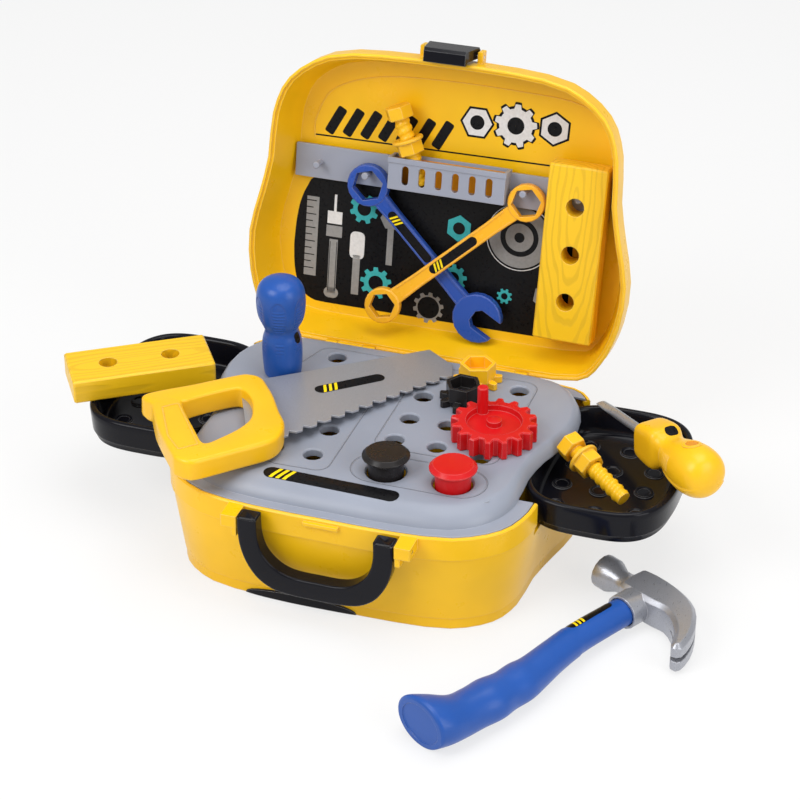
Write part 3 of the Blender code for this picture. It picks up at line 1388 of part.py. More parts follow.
def build_spanners(hinge):
    """Blue ring and jaw spanner, yellow double-ring spanner."""
    tall = 2 * SPANNER_HALF_THICK
    start = in_lid(BLUE_RING_X, BLUE_RING_V, BLUE_SPANNER_W)
    rotation, length = spanner_frame(start, in_lid(BLUE_JAW_X, BLUE_JAW_V, BLUE_SPANNER_W))
    blue = build_spanner("blue_spanner", hinge, start, rotation, length, BLUE,
                         ((0.0, BLUE_RING_RADIUS), (length, JAW_RADIUS)))
    carve(blue, prism(circle(BLUE_HEX_RADIUS, 6), -tall, tall), "ring_hex")
    jaw = rectangle(-JAW_THROAT, 2 * JAW_RADIUS, -JAW_WIDTH / 2, JAW_WIDTH / 2, JAW_THROAT)
    spot = Matrix.Translation((length, 0, 0)) @ Matrix.Rotation(JAW_TURN, 4, 'Z')
    carve(blue, moved(prism(jaw, -tall, tall), spot), "jaw")
    start = in_lid(YELLOW_RING_X, YELLOW_RING_V, YELLOW_RING_W)
    rotation, length = spanner_frame(start, in_lid(YELLOW_LOW_X, YELLOW_LOW_V, YELLOW_LOW_W))
    yellow = build_spanner("yellow_spanner", hinge, start, rotation, length, YELLOW,
                           ((0.0, YELLOW_RING_RADIUS), (length, YELLOW_LOW_RADIUS)))
    carve(yellow, prism(circle(YELLOW_HEX_RADIUS, 6, (0, 0), math.pi / 6), -tall, tall), "ring_hex")
    carve(yellow, prism(circle(YELLOW_LOW_HEX, 6, (length, 0), math.pi / 6), -tall, tall), "low_hex")


def plank_solid(length, width):
    """Plank with cut edges, centred on its middle."""
    outline = rectangle(-length / 2, length / 2, -width / 2, width / 2, PLANK_ROUND)
    return prism(outline, -PLANK_THICK / 2, PLANK_THICK / 2, PLANK_ROUND)


def plank_holes(spots):
    """Round holes through a plank."""
    reach = PLANK_THICK / 2 + BITE
    hole = ((PLANK_HOLE_RADIUS, -reach), (PLANK_HOLE_RADIUS, reach))
    return merged([lathe(hole, DRIVER_SEGMENTS, (x, 0)) for x in spots])


def build_planks(hinge):
    """Long plank hung in the lid and short plank on the left tray."""
    centre = in_lid(LONG_PLANK_X, LONG_PLANK_V, LONG_PLANK_FRONT + PLANK_THICK / 2)
    spot = pivot("long_plank_place", centre, (0, 0, math.pi / 2 + LONG_PLANK_TILT), hinge)
    plank = piece("long_plank", plank_solid(LONG_PLANK_LENGTH, LONG_PLANK_WIDTH), YELLOW, 0.38, spot)
    carve(plank, plank_holes((-LONG_PLANK_PITCH, 0.0, LONG_PLANK_PITCH)), "holes")
    centre = (SHORT_PLANK_X, SHORT_PLANK_Y, SHORT_PLANK_BOTTOM + PLANK_THICK / 2)
    spot = pivot("short_plank_place", centre, (0, 0, SHORT_PLANK_TURN))
    plank = piece("short_plank", plank_solid(SHORT_PLANK_LENGTH, SHORT_PLANK_WIDTH), YELLOW, 0.38, spot)
    carve(plank, plank_holes((-SHORT_PLANK_PITCH / 2, SHORT_PLANK_PITCH / 2)), "holes")


def bolt_solid():
    """Bolt along Z: six-sided head at the bottom, ridged shank above."""
    start = BOLT_HEAD_HEIGHT
    pitch = (BOLT_LENGTH - start - BOLT_TIP) / BOLT_TURNS
    profile = [(BOLT_CORE, start - BITE)]
    for turn in range(BOLT_TURNS):
        low = start + turn * pitch
        profile += [(BOLT_CORE, low + pitch / 4), (BOLT_THREAD, low + pitch * 3 / 4)]
    profile += [(BOLT_CORE, BOLT_LENGTH - CHAMFER), (BOLT_CORE - CHAMFER, BOLT_LENGTH)]
    return lathe(profile, HOLE_SEGMENTS)


def build_bolt(name, matrix_parent, nut_place):
    """Bolt and its flanged nut on one axis."""
    head = prism(circle(BOLT_HEAD_RADIUS, 6), 0.0, BOLT_HEAD_HEIGHT, CHAMFER)
    bolt = piece(name, head, YELLOW, 0.34, matrix_parent)
    fuse(bolt, bolt_solid(), "shank")
    hexagon = prism(circle(NUT_HEX_RADIUS, 6), NUT_FLANGE_THICK / 2, NUT_HEIGHT, CHAMFER)
    wide, thick = NUT_FLANGE_RADIUS, NUT_FLANGE_THICK
    flange = ((wide - CHAMFER, 0.0), (wide, CHAMFER), (wide, thick - CHAMFER), (wide - CHAMFER, thick))
    nut = piece(name + "_nut", lathe(flange, DRIVER_SEGMENTS), YELLOW, 0.34, matrix_parent)
    nut.location = (0, 0, nut_place)
    fuse(nut, hexagon, "hex")
    carve(nut, lathe(((NUT_BORE, -BITE), (NUT_BORE, NUT_HEIGHT + BITE)), HOLE_SEGMENTS), "bore")


def aimed(name, start, end, parent=None):
    """Empty whose Z axis points from one place to another."""
    rotation = (Vector(end) - Vector(start)).to_track_quat('Z', 'Y').to_euler()
    return pivot(name, start, rotation, parent)


def build_bolts(hinge):
    """Bolt on the right tray and bolt in the rack pocket."""
    build_bolt("tray_bolt", aimed("tray_bolt_place", TRAY_BOLT_HEAD, TRAY_BOLT_AIM), TRAY_BOLT_NUT)
    tip = in_lid(*RACK_BOLT_TIP)
    aim = in_lid(*RACK_BOLT_AIM)
    head = tip + (aim - tip).normalized() * BOLT_LENGTH
    build_bolt("rack_bolt", aimed("rack_bolt_place", head, tip, hinge), RACK_BOLT_NUT)


def build_driver(name, colour, place):
    """Screwdriver along Z: blade at the bottom, bulging handle above."""
    profile = [(radius * DRIVER_RADIUS, height * DRIVER_LENGTH) for height, radius in DRIVER_SHARES]
    handle = piece(name + "_handle", lathe(profile, DRIVER_SEGMENTS), colour, 0.26, place)
    bore = DRIVER_SHAFT_RADIUS + FIT
    carve(handle, lathe(((bore, -BITE), (bore, DRIVER_SOCKET + FIT)), HOLE_SEGMENTS), "socket")
    loops = []
    for step, thin, wide in DRIVER_BLADE_SHARES:
        height = -DRIVER_SHAFT_LENGTH + step * DRIVER_TIP_LENGTH
        loops.append([(p.x * wide, p.y * thin, height) for p in circle(DRIVER_SHAFT_RADIUS, HOLE_SEGMENTS)])
    loops.append(at_height(circle(DRIVER_SHAFT_RADIUS, HOLE_SEGMENTS), DRIVER_SOCKET))
    piece(name + "_shaft", loft(loops), STEEL, 0.30, place, metallic=0.9)


def build_drivers():
    """Blue screwdriver standing in the bench and yellow one on the right tray."""
    bench = RIM_HEIGHT + BENCH_RISE
    build_driver("blue_driver", BLUE, pivot("blue_driver_place", (BLUE_DRIVER_X, BLUE_DRIVER_Y, bench + FIT)))
    tip = Vector(YELLOW_DRIVER_TIP)
    butt = Vector(YELLOW_DRIVER_BUTT)
    neck = butt + (tip - butt).normalized() * DRIVER_LENGTH
    build_driver("yellow_driver", YELLOW, aimed("yellow_driver_place", neck, butt))


def saw_outline():
    """Blade outline with a toothed lower edge."""
    loop = scaled(SAW_BLADE_SHARES, SAW_LENGTH)
    heel = scaled(SAW_HEEL_SHARES, SAW_LENGTH)
    start, end = loop[-1], heel[0]
    run = end - start
    outward = Vector((run.y, -run.x)).normalized()
    if outward.y > 0:
        outward = -outward
    teeth = []
    for tooth in range(SAW_TEETH):
        for across, down in SAW_TOOTH_SHARES:
            teeth.append(start + run * ((tooth + across) / SAW_TEETH) + outward * (SAW_TOOTH_DEPTH * down))
    return list(reversed(loop[:-1] + teeth + heel))


def build_saw():
    """Saw lying on the bench, its tip down on the plate."""
    reach = SAW_LENGTH * math.cos(SAW_PITCH)
    start = (
        SAW_TIP_X - reach * math.cos(SAW_TURN), SAW_TIP_Y - reach * math.sin(SAW_TURN),
        RIM_HEIGHT + BENCH_RISE + SAW_TIP_RISE + SAW_LENGTH * math.sin(SAW_PITCH),
    )
    spot = pivot("saw_place", start, (0, SAW_PITCH, SAW_TURN))
    half = SAW_BLADE_HALF
    blade = prism(saw_outline(), -half, half)
    piece("saw_blade", blade, SILVER, 0.35, spot, metallic=0.6)
    grip = list(reversed(scaled(SAW_GRIP_SHARES, SAW_LENGTH)))
    thick = SAW_HANDLE_THICK / 2
    rings = []
    grip = doubled_loop(grip)
    for amount, height in rounded_sides(SAW_HANDLE_ROUND, thick):
        rings.append(at_height(inset(grip, amount), height))
    handle = piece("saw_handle", loft(rings), YELLOW, 0.34, spot)
    window = doubled_loop(list(reversed(scaled(SAW_WINDOW_SHARES, SAW_LENGTH))))
    carve(handle, prism(window, -SAW_HANDLE_THICK, SAW_HANDLE_THICK), "window")
    slot = half + SAW_SLOT_FIT
    carve(handle, block(-SAW_SLOT_DEPTH, SAW_LENGTH, -SAW_LENGTH, SAW_LENGTH, -slot, slot), "blade_slot")


def oval(half_y, half_z, centre_y, centre_z, x, segments):
    """Upright oval ring at one place along X."""
    ring = []
    for k in range(segments):
        turn = 2 * math.pi * k / segments
        ring.append((x, centre_y + half_y * math.cos(turn), centre_z + half_z * math.sin(turn)))
    return ring


def build_hammer():
    """Hammer lying on its side on the floor."""
    spot = pivot("hammer_place", (HAMMER_X, HAMMER_Y, 0), (0, 0, HAMMER_TURN))
    size = HAMMER_LENGTH
    rings = []
    for along, off, wide, tall in HAMMER_HANDLE_SHARES:
        rest = max(tall * size, HEAD_HALF_THICK) + FIT
        rings.append(oval(wide * size, tall * size, off * size, rest, along * size, HAMMER_SEGMENTS))
    piece("hammer_handle", loft(rings), BLUE, 0.28, spot)
    build_hammer_head(spot)


def build_hammer_head(spot):
    """Claw head with a waisted poll and a split, curved claw."""
    size = HEAD_SIZE
    middle = HEAD_HALF_THICK + FIT
    off = HAMMER_HANDLE_SHARES[-1][1] * HAMMER_LENGTH
    start = HAMMER_LENGTH + FIT
    outline = doubled_loop(scaled(HEAD_BODY_SHARES, size))
    outline = [Vector((start + p.x, off + p.y)) for p in outline]
    half = HEAD_HALF_THICK - CHAMFER
    rings = []
    flat = half - HEAD_ROUND
    for amount, height in ((HEAD_ROUND, -half), (0.0, -flat), (0.0, flat), (HEAD_ROUND, half)):
        rings.append(at_height(inset(outline, amount), middle + height))
    head = piece("hammer_head", loft(rings), SILVER, 0.30, spot, metallic=0.7)
    poll = [(radius * size, y * size) for y, radius in HEAD_POLL_SHARES]
    poll = [(min(radius, HEAD_HALF_THICK), y) for radius, y in poll]
    fuse(head, shifted(along_y(lathe(poll, DRIVER_SEGMENTS)), x=start + HEAD_POLL_X, y=off, z=middle), "poll")
    collar = [
        oval(HEAD_COLLAR_HALF_Y, HEAD_COLLAR_HALF_Z, off, middle, x, HAMMER_SEGMENTS)
        for x in (start - HEAD_COLLAR_LENGTH, start + HEAD_COLLAR_OVERLAP)
    ]
    fuse(head, loft(collar), "collar")
    end_half_y = HAMMER_HANDLE_SHARES[-1][2] * HAMMER_LENGTH + FIT
    end_half_z = HAMMER_HANDLE_SHARES[-1][3] * HAMMER_LENGTH + FIT
    socket = [
        oval(end_half_y, end_half_z, off, middle, x, HAMMER_SEGMENTS)
        for x in (start - HEAD_COLLAR_LENGTH - BITE, start)
    ]
    carve(head, loft(socket), "socket")
    wedge = [
        Vector((start - size, off + CLAW_GAP_END)), Vector((start + size, off + CLAW_GAP_END)),
        Vector((start + size, off + CLAW_GAP_START)), Vector((start - size, off + CLAW_GAP_START)),
    ]
    gaps = [CLAW_GAP_FAR, CLAW_GAP_FAR, CLAW_GAP_NEAR, CLAW_GAP_NEAR]
    low = [(p.x, p.y, middle - gap / 2) for p, gap in zip(wedge, gaps)]
    high = [(p.x, p.y, middle + gap / 2) for p, gap in zip(wedge, gaps)]
    carve(head, loft([low, high]), "claw_gap")


def main():
    """Build every piece of the tool box."""
    clear_scene()
    hinge = pivot("lid_hinge", (0, HINGE_Y, HINGE_Z), (-LID_OPEN_ANGLE, 0, 0))
    build_base()
    build_deck()
    build_foot()
    build_bench()
    build_screws()
    build_lid(hinge)
    build_hinge_pins()
    build_latch(hinge)
    build_rack(hinge)
    build_handle()
    build_tray(-1, "left")
    build_tray(1, "right")
    build_button(BLACK_BUTTON_X, "black", BLACK)
    build_button(RED_BUTTON_X, "red", RED)
    build_rocker()
    build_red_gear()
    line = gear_line()
    build_petal_gear("black", BLACK_GEAR_X, BLACK_GEAR_Y, BLACK, line)
    build_petal_gear("yellow", YELLOW_GEAR_X, YELLOW_GEAR_Y, YELLOW, line + math.pi + math.pi / PETAL_COUNT)
    build_spanners(hinge)
    build_planks(hinge)
    build_bolts(hinge)
    build_drivers()
    build_saw()
    build_hammer()


main()
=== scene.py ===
"""Looks of the toy tool box: finishes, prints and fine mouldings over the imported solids.

Everything is in metres in the part's own frame: the origin is the centre of the case's
underside, X runs right, Y to the hinge and Z up.
"""
import math

import bpy
from mathutils import Matrix, Vector
from mathutils.bvhtree import BVHTree


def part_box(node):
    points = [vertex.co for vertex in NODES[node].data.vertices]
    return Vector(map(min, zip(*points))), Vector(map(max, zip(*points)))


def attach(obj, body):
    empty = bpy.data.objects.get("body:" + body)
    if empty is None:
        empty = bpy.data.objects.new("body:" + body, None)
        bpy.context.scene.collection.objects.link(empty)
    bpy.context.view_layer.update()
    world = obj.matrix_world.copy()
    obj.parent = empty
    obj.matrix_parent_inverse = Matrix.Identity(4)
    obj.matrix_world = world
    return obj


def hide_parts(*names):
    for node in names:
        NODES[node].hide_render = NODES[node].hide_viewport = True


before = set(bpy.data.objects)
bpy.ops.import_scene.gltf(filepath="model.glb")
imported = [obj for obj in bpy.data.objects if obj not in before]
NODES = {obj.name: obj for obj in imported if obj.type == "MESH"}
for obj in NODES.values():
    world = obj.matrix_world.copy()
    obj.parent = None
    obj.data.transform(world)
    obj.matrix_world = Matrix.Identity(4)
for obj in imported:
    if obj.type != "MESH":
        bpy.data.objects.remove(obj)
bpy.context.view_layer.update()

# Colours as red, green and blue
CASE_YELLOW = (0.9, 0.515, 0.006)
TOOL_YELLOW = (0.9, 0.5, 0.01)
AMBER_YELLOW = (0.9, 0.44, 0.016)
# Painted shade: yellow darkened to stand for yellow plastic in shadow
PAINTED_SHADE_AMBER = (0.72, 0.27, 0.006)
PLANK_YELLOW = (0.9, 0.54, 0.008)
BENCH_GREY = (0.285, 0.31, 0.375)
RACK_GREY = (0.3, 0.32, 0.39)
JET_BLACK = (0.006, 0.006, 0.009)
BUTTON_BLACK = (0.014, 0.012, 0.012)
BRIGHT_RED = (0.62, 0.008, 0.01)
TOOL_BLUE = (0.016, 0.085, 0.37)
SPANNER_BLUE = (0.022, 0.075, 0.37)
BLADE_SILVER = (0.42, 0.43, 0.46)
HEAD_SILVER = (0.39, 0.4, 0.44)
STEEL = (0.56, 0.56, 0.58)
SHAFT_GREY = (0.36, 0.37, 0.39)
PRINT_BLACK = (0.004, 0.004, 0.005)
PRINT_GREY = (0.28, 0.28, 0.28)
PRINT_PALE = (0.7, 0.7, 0.7)
PRINT_TEAL = (0.05, 0.42, 0.44)
PRINT_YELLOW = (0.93, 0.7, 0.01)
# Painted shade: dark grey standing for the shade inside the bench's engraved grooves
GROOVE_SHADE_GREY = (0.17, 0.18, 0.21)

# Lid frame
HINGE = Vector((0, 0.1153, 0.0817))
LID_OPEN = math.radians(101.45)
LID_RIGHT = Vector((1, 0, 0))
LID_UP = Vector((0, -math.cos(LID_OPEN), math.sin(LID_OPEN)))
LID_BACK = Vector((0, math.sin(LID_OPEN), math.cos(LID_OPEN)))

# Thin sheets, steps of a smooth curve, and the angle in degrees over which an edge stays sharp
PRINT_LIFT = 0.0001
LABEL_LIFT = 0.00015
LAYER_STEP = 0.00008
SHEET_SINK = 0.0001
CURVE_STEPS = 8
SMOOTH_ANGLE = 32.0

# Materials: noise scales, bump depths and the plastics' index of refraction

FLOW_SCALE = 14.0
HANDLED_SCALE = 38.0
SKIN_SCALE = 1400.0
SKIN_DEPTH = 0.00006
WAVE_SCALE = 30.0
WAVE_DEPTH = 0.0006
BRUSH_SCALE = 160.0
BRUSH_STRETCH = (6.0, 1.0, 6.0)
BRUSH_DEPTH = 0.00005
FLAKE_SCALE = 2600.0
GRAIN_SCALE = 70.0
GRAIN_DEPTH = -0.0003
INK_SCALE = 420.0
INK_SKIN_SCALE = 900.0
INK_DEPTH = 0.00004
PLASTIC_IOR = 1.49
BEVEL_SAMPLES = 6


class Shader:
    """Node tree of one material with short ways to add nodes."""

    def __init__(self, name):
        self.material = bpy.data.materials.new(name)
        self.material.use_nodes = True
        self.tree = self.material.node_tree
        self.surface = self.tree.nodes["Principled BSDF"]

    def plug(self, socket, value):
        """Wire an output to a socket, or set the socket to a value."""
        if isinstance(value, bpy.types.NodeSocket):
            self.tree.links.new(value, socket)
        else:
            socket.default_value = value

    def feed(self, node, **sockets):
        """Wire or set a node's sockets, named in lower case."""
        for key, value in sockets.items():
            self.plug(node.inputs[key.replace("_", " ").title().replace("Ior", "IOR")], value)
        return node

    def node(self, kind, settings=None, **sockets):
        """New node with its settings and sockets."""
        made = self.tree.nodes.new(kind)
        for key, value in (settings or {}).items():
            setattr(made, key, value)
        return self.feed(made, **sockets)

    def computed(self, kind, operation, *values):
        """Output of a math node over its first sockets."""
        made = self.node(kind, {"operation": operation})
        for socket, value in zip(made.inputs, values):
            self.plug(socket, value)
        return made.outputs["Value"]

    def coordinates(self):
        """Coordinates that stay with the object's own mesh."""
        return self.node("ShaderNodeTexCoord").outputs["Object"]

    def noise(self, scale, detail=3.0, rough=0.5, vector=None):
        """Noise field over the surface."""
        vector = vector or self.coordinates()
        field = self.node("ShaderNodeTexNoise", scale=scale, detail=detail, roughness=rough, vector=vector)
        return field.outputs["Fac"]

    def ranged(self, value, low, high, start=0.3, end=0.7):
        """Value mapped from one range to another."""
        limits = {"from_min": start, "from_max": end, "to_min": low, "to_max": high}
        return self.node("ShaderNodeMapRange", value=value, **limits).outputs["Result"]

    def mixed(self, share, first, second):
        """Colour between two colours; each may be a value or an output."""
        mix = self.node("ShaderNodeMix", {"data_type": "RGBA"}, factor=share)
        for socket, colour in ((mix.inputs[6], first), (mix.inputs[7], second)):
            self.plug(socket, (*colour, 1.0) if isinstance(colour, tuple) else colour)
        return mix.outputs[2]

    def bumped(self, height, strength, distance, **normal):
        """Bump from a height field, over another normal where one is given."""
        bump = self.node("ShaderNodeBump", strength=strength, distance=distance, height=height, **normal)
        return bump.outputs["Normal"]

    def softened(self, radius):
        """Normal that rounds edges by a radius."""
        return self.node("ShaderNodeBevel", {"samples": BEVEL_SAMPLES}, radius=radius).outputs["Normal"]

    def painted_edge_highlight(self, body, colour, soft, amount, paler):
        """Painted highlight: colour made paler along edges, where the rounded normal leans from the true one.
        """
        true = self.node("ShaderNodeNewGeometry").outputs["Normal"]
        lean = self.computed("ShaderNodeVectorMath", "DOT_PRODUCT", soft, true)
        mask = self.ranged(self.ranged(lean, 0.0, 1.0, start=0.995, end=0.85), 0.0, amount, 0.0, 1.0)
        return self.mixed(mask, body, lightened(colour, paler))


def tinted(colour, amount):
    """Colour scaled by an amount, kept at most 1."""
    return tuple(min(1.0, part * amount) for part in colour)


def lightened(colour, amount):
    """Colour moved towards white."""
    return tuple(part + (1.0 - part) * amount for part in colour)


def plastic(name, colour, roughness, edge=0.0007, mottle=0.06, grain=0.04, painted_edge_highlight=0.1, gloss=0.35):
    """Moulded plastic: faint flow mottling, fine skin grain, rounded edges with a painted highlight along
    them, and handling marks.
    """
    shader = Shader(name)
    soft = shader.softened(edge)
    flow = shader.ranged(shader.noise(FLOW_SCALE, 3.0, 0.55), 0.0, 1.0)
    body = shader.mixed(flow, tinted(colour, 1.0 - mottle), tinted(colour, 1.0 + mottle))
    handled = shader.noise(HANDLED_SCALE, 5.0, 0.65)
    skin = shader.bumped(shader.noise(SKIN_SCALE, 2.0), grain, SKIN_DEPTH, normal=soft)
    # The base colour is made paler along the edges: a painted highlight.
    shader.feed(
        shader.surface, base_color=shader.painted_edge_highlight(body, colour, soft, painted_edge_highlight, 0.5),
        roughness=shader.ranged(handled, roughness * 0.85, roughness * 1.2),
        normal=shader.bumped(shader.noise(WAVE_SCALE, 1.0), 0.05, WAVE_DEPTH, normal=skin),
        ior=PLASTIC_IOR, specular_ior_level=gloss,
    )
    return shader.material


def metallic(name, colour, roughness, share, edge=0.0006):
    """Silver-filled plastic or plain steel: fine sparkle, soft brushing and rounded edges with a painted
    highlight along them.
    """
    shader = Shader(name)
    soft = shader.softened(edge)
    stretch = shader.node("ShaderNodeMapping", scale=BRUSH_STRETCH, vector=shader.coordinates())
    brushed = shader.noise(BRUSH_SCALE, 4.0, 0.6, stretch.outputs["Vector"])
    flake = shader.ranged(shader.noise(FLAKE_SCALE, 1.0), 0.0, 1.0)
    body = shader.mixed(flake, tinted(colour, 0.86), tinted(colour, 1.14))
    # The base colour is made paler along the edges: a painted highlight.
    shader.feed(
        shader.surface, base_color=shader.painted_edge_highlight(body, colour, soft, 0.35, 0.4), metallic=share,
        roughness=shader.ranged(brushed, roughness * 0.8, roughness * 1.25),
        normal=shader.bumped(brushed, 0.05, BRUSH_DEPTH, normal=soft),
    )
    return shader.material


def timbered(plank, colour):
    """Yellow plastic with moulded wood grain lines running along a plank."""
    shift, turn, stretch = PLANK_GRAIN[plank]
    low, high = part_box(plank)
    shader = Shader(plank + "_yellow")
    soft = shader.softened(PLANK_EDGE)
    along = shader.node("ShaderNodeMapping", {"vector_type": "TEXTURE"}, vector=shader.coordinates(),
                        location=(low + high) / 2 + Vector(shift), rotation=turn, scale=stretch)
    rings = {"wave_type": "RINGS", "rings_direction": "Z"}
    waves = shader.node("ShaderNodeTexWave", rings, scale=GRAIN_SCALE, distortion=9.0, detail=2.0,
                        detail_scale=0.8, vector=along.outputs["Vector"])
    line = shader.ranged(waves.outputs["Fac"], 0.0, 1.0, 0.62, 0.9)
    body = shader.mixed(line, colour, tinted(colour, 0.86))
    # The base colour is made paler along the edges: a painted highlight.
    shader.feed(
        shader.surface, base_color=shader.painted_edge_highlight(body, colour, soft, 0.25, 0.5), ior=PLASTIC_IOR,
        roughness=shader.ranged(line, 0.34, 0.44, 0.0, 1.0),
        normal=shader.bumped(line, 0.35, GRAIN_DEPTH, normal=soft),
    )
    return shader.material


def printed(name, colour, roughness=0.35, gloss=0.15):
    """Ink or film with faint unevenness and specks."""
    shader = Shader(name)
    field = shader.noise(INK_SCALE, 4.0, 0.6)
    pale = lightened(tinted(colour, 1.06), 0.004)
    shader.feed(
        shader.surface, base_color=shader.mixed(shader.ranged(field, 0.0, 1.0), tinted(colour, 0.9), pale),
        roughness=shader.ranged(field, roughness * 0.85, roughness * 1.2), specular_ior_level=gloss,
        normal=shader.bumped(shader.noise(INK_SKIN_SCALE, 2.0), 0.06, INK_DEPTH),
    )
    return shader.material


# In this table, the amounts that make each finish paler along its edges set a painted highlight.
MATERIALS = {
    "case": plastic("case_yellow", CASE_YELLOW, 0.3, painted_edge_highlight=0.35),
    "tool_yellow": plastic("tool_yellow", TOOL_YELLOW, 0.3, painted_edge_highlight=0.4, edge=0.0009),
    "amber": plastic("amber_yellow", AMBER_YELLOW, 0.26, painted_edge_highlight=0.35, edge=0.0007),
    "bench": plastic("bench_grey", BENCH_GREY, 0.34, grain=0.1, painted_edge_highlight=0.35, edge=0.0009),
    "rack": plastic("rack_grey", RACK_GREY, 0.4, painted_edge_highlight=0.35),
    "jet": plastic("jet_black", JET_BLACK, 0.15, grain=0.02, painted_edge_highlight=0.3, edge=0.0009, gloss=0.17),
    "button_black": plastic("button_black", BUTTON_BLACK, 0.26, painted_edge_highlight=0.08, edge=0.0009, gloss=0.3),
    "red": plastic("bright_red", BRIGHT_RED, 0.24, painted_edge_highlight=0.3),
    "blue": plastic("tool_blue", TOOL_BLUE, 0.32, painted_edge_highlight=0.18),
    # Painted shade: the dark amber laid in hollows of yellow parts
    "painted_shade_amber": plastic("painted_shade_amber", PAINTED_SHADE_AMBER, 0.34, painted_edge_highlight=0.1),
    "spanner_blue": plastic("spanner_blue", SPANNER_BLUE, 0.26, painted_edge_highlight=0.35),
    "blade": metallic("blade_silver", BLADE_SILVER, 0.38, 0.55),
    "head": metallic("head_silver", HEAD_SILVER, 0.32, 0.6, edge=0.0012),
    "steel": metallic("plain_steel", STEEL, 0.24, 1.0),
    "shaft": metallic("shaft_grey", SHAFT_GREY, 0.3, 0.55),
    "print_black": printed("print_black", PRINT_BLACK, 0.3),
    "print_grey": printed("print_grey", PRINT_GREY),
    "print_pale": printed("print_pale", PRINT_PALE),
    "print_teal": printed("print_teal", PRINT_TEAL),
    "print_yellow": printed("print_yellow", PRINT_YELLOW),
    # Painted shade of the bench's engraved grooves
    "groove": printed("groove_shade_grey", GROOVE_SHADE_GREY, 0.45),
}

# Which finish each carried-over solid takes
NODE_FINISHES = {
    "case": ("case_base", "lid_shell", "tray_deck"),
    "bench": ("bench_plate",),
    "rack": ("tool_rack", "rocker"),
    "jet": ("carry_handle", "front_foot", "latch", "tray_left", "tray_right"),
    "button_black": ("button_black", "gear_black"),
    "red": ("button_red", "gear_red"),
    "tool_yellow": ("gear_yellow", "rack_bolt", "rack_bolt_nut", "tray_bolt", "tray_bolt_nut", "saw_handle",
                    "yellow_driver_handle"),
    "amber": ("yellow_spanner",),
    "spanner_blue": ("blue_spanner",),
    "blue": ("hammer_handle", "blue_driver_handle"),
    "blade": ("saw_blade",),
    "head": ("hammer_head",),
    "shaft": ("yellow_driver_shaft", "blue_driver_shaft"),
    "steel": ("bench_screw_1", "bench_screw_2", "bench_screw_3", "bench_screw_4", "hinge_pin_left",
              "hinge_pin_right", "handle_pin_left", "handle_pin_right", "latch_pin", "rocker_pin"),
}
WELD_DISTANCE = 0.00002

# Grain of each plank: place from its middle, turn and stretch
PLANK_EDGE = 0.0009
PLANK_GRAIN = {
    "long_plank": ((0, 0, 0.12), (0, 0, 0), (1.0, 1.0, 7.0)),
    "short_plank": ((0, 0, 0.05), (0, 0, math.radians(34.3)), (7.0, 1.0, 1.0)),
}


def dress_node(node, material):
    """Finish and smooth shading for one carried-over solid."""
    item = NODES[node]
    item.data.materials.clear()
    item.data.materials.append(material)
    for polygon in item.data.polygons:
        polygon.use_smooth = True
    weld = item.modifiers.new("weld", "WELD")
    weld.merge_threshold = WELD_DISTANCE
    split = item.modifiers.new("edges", "EDGE_SPLIT")
    split.split_angle = math.radians(SMOOTH_ANGLE)


def dress_nodes():
    """Finish every carried-over solid."""
    for finish, names in NODE_FINISHES.items():
        for name in names:
            dress_node(name, MATERIALS[finish])
    for plank in PLANK_GRAIN:
        dress_node(plank, timbered(plank, PLANK_YELLOW))


# Meshes


def outward(verts, faces):
    """Faces turned round when the solid's volume comes out negative."""
    volume = 0.0
    for face in faces:
        first = verts[face[0]]
        for k in range(1, len(face) - 1):
            volume += first.dot(verts[face[k]].cross(verts[face[k + 1]]))
    return [tuple(reversed(face)) for face in faces] if volume < 0 else faces


def place_mesh(name, solids, finish, body, smooth_angle=SMOOTH_ANGLE, replaced=None):
    """Object from closed vertex and face lists, riding on a body, perhaps in place of a solid."""
    all_verts, all_faces = [], []
    for verts, faces in solids:
        verts = [Vector(v) for v in verts]
        start = len(all_verts)
        all_faces.extend(tuple(start + k for k in face) for face in outward(verts, faces))
        all_verts.extend(verts)
    mesh = bpy.data.meshes.new(name)
    mesh.from_pydata([tuple(v) for v in all_verts], [], all_faces)
    mesh.update()
    mesh.materials.append(MATERIALS[finish])
    mesh.shade_smooth()
    mesh.set_sharp_from_angle(angle=math.radians(smooth_angle))
    item = bpy.data.objects.new(name, mesh)
    bpy.context.scene.collection.objects.link(item)
    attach(item, body)
    if replaced:
        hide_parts(replaced)
    return item


def loft(rings, closed=False):
    """Solid through rings of equal count, with flat caps or with its ends joined."""
    count = len(rings[0])
    verts = [Vector(point) for ring in rings for point in ring]
    faces = []
    for level in range(len(rings) if closed else len(rings) - 1):
        low, high = level * count, (level + 1) % len(rings) * count
        for k in range(count):
            n = (k + 1) % count
            faces.append((low + k, low + n, high + n, high + k))
    if not closed:
        faces += [tuple(reversed(range(count))), tuple(range(len(verts) - count, len(verts)))]
    return verts, faces


def moved(points, matrix):
    """Points carried by a matrix."""
    return [matrix @ Vector(point) for point in points]


def smooth_points(points, steps, closed=False):
    """Smooth curve through points of any dimension."""
    result = []
    count = len(points)
    spans = count if closed else count - 1
    for index in range(spans):
        around = []
        for shift in (-1, 0, 1, 2):
            place = index + shift
            around.append(points[place % count] if closed else points[max(0, min(count - 1, place))])
        for step in range(steps):
            t = step / steps
            result.append(tuple(
                (2 * b + (c - a) * t + (2 * a - 5 * b + 4 * c - d) * t * t
                 + (3 * b - a - 3 * c + d) * t ** 3) / 2
                for a, b, c, d in zip(*around)
            ))
    if not closed:
        result.append(tuple(points[-1]))
    return result


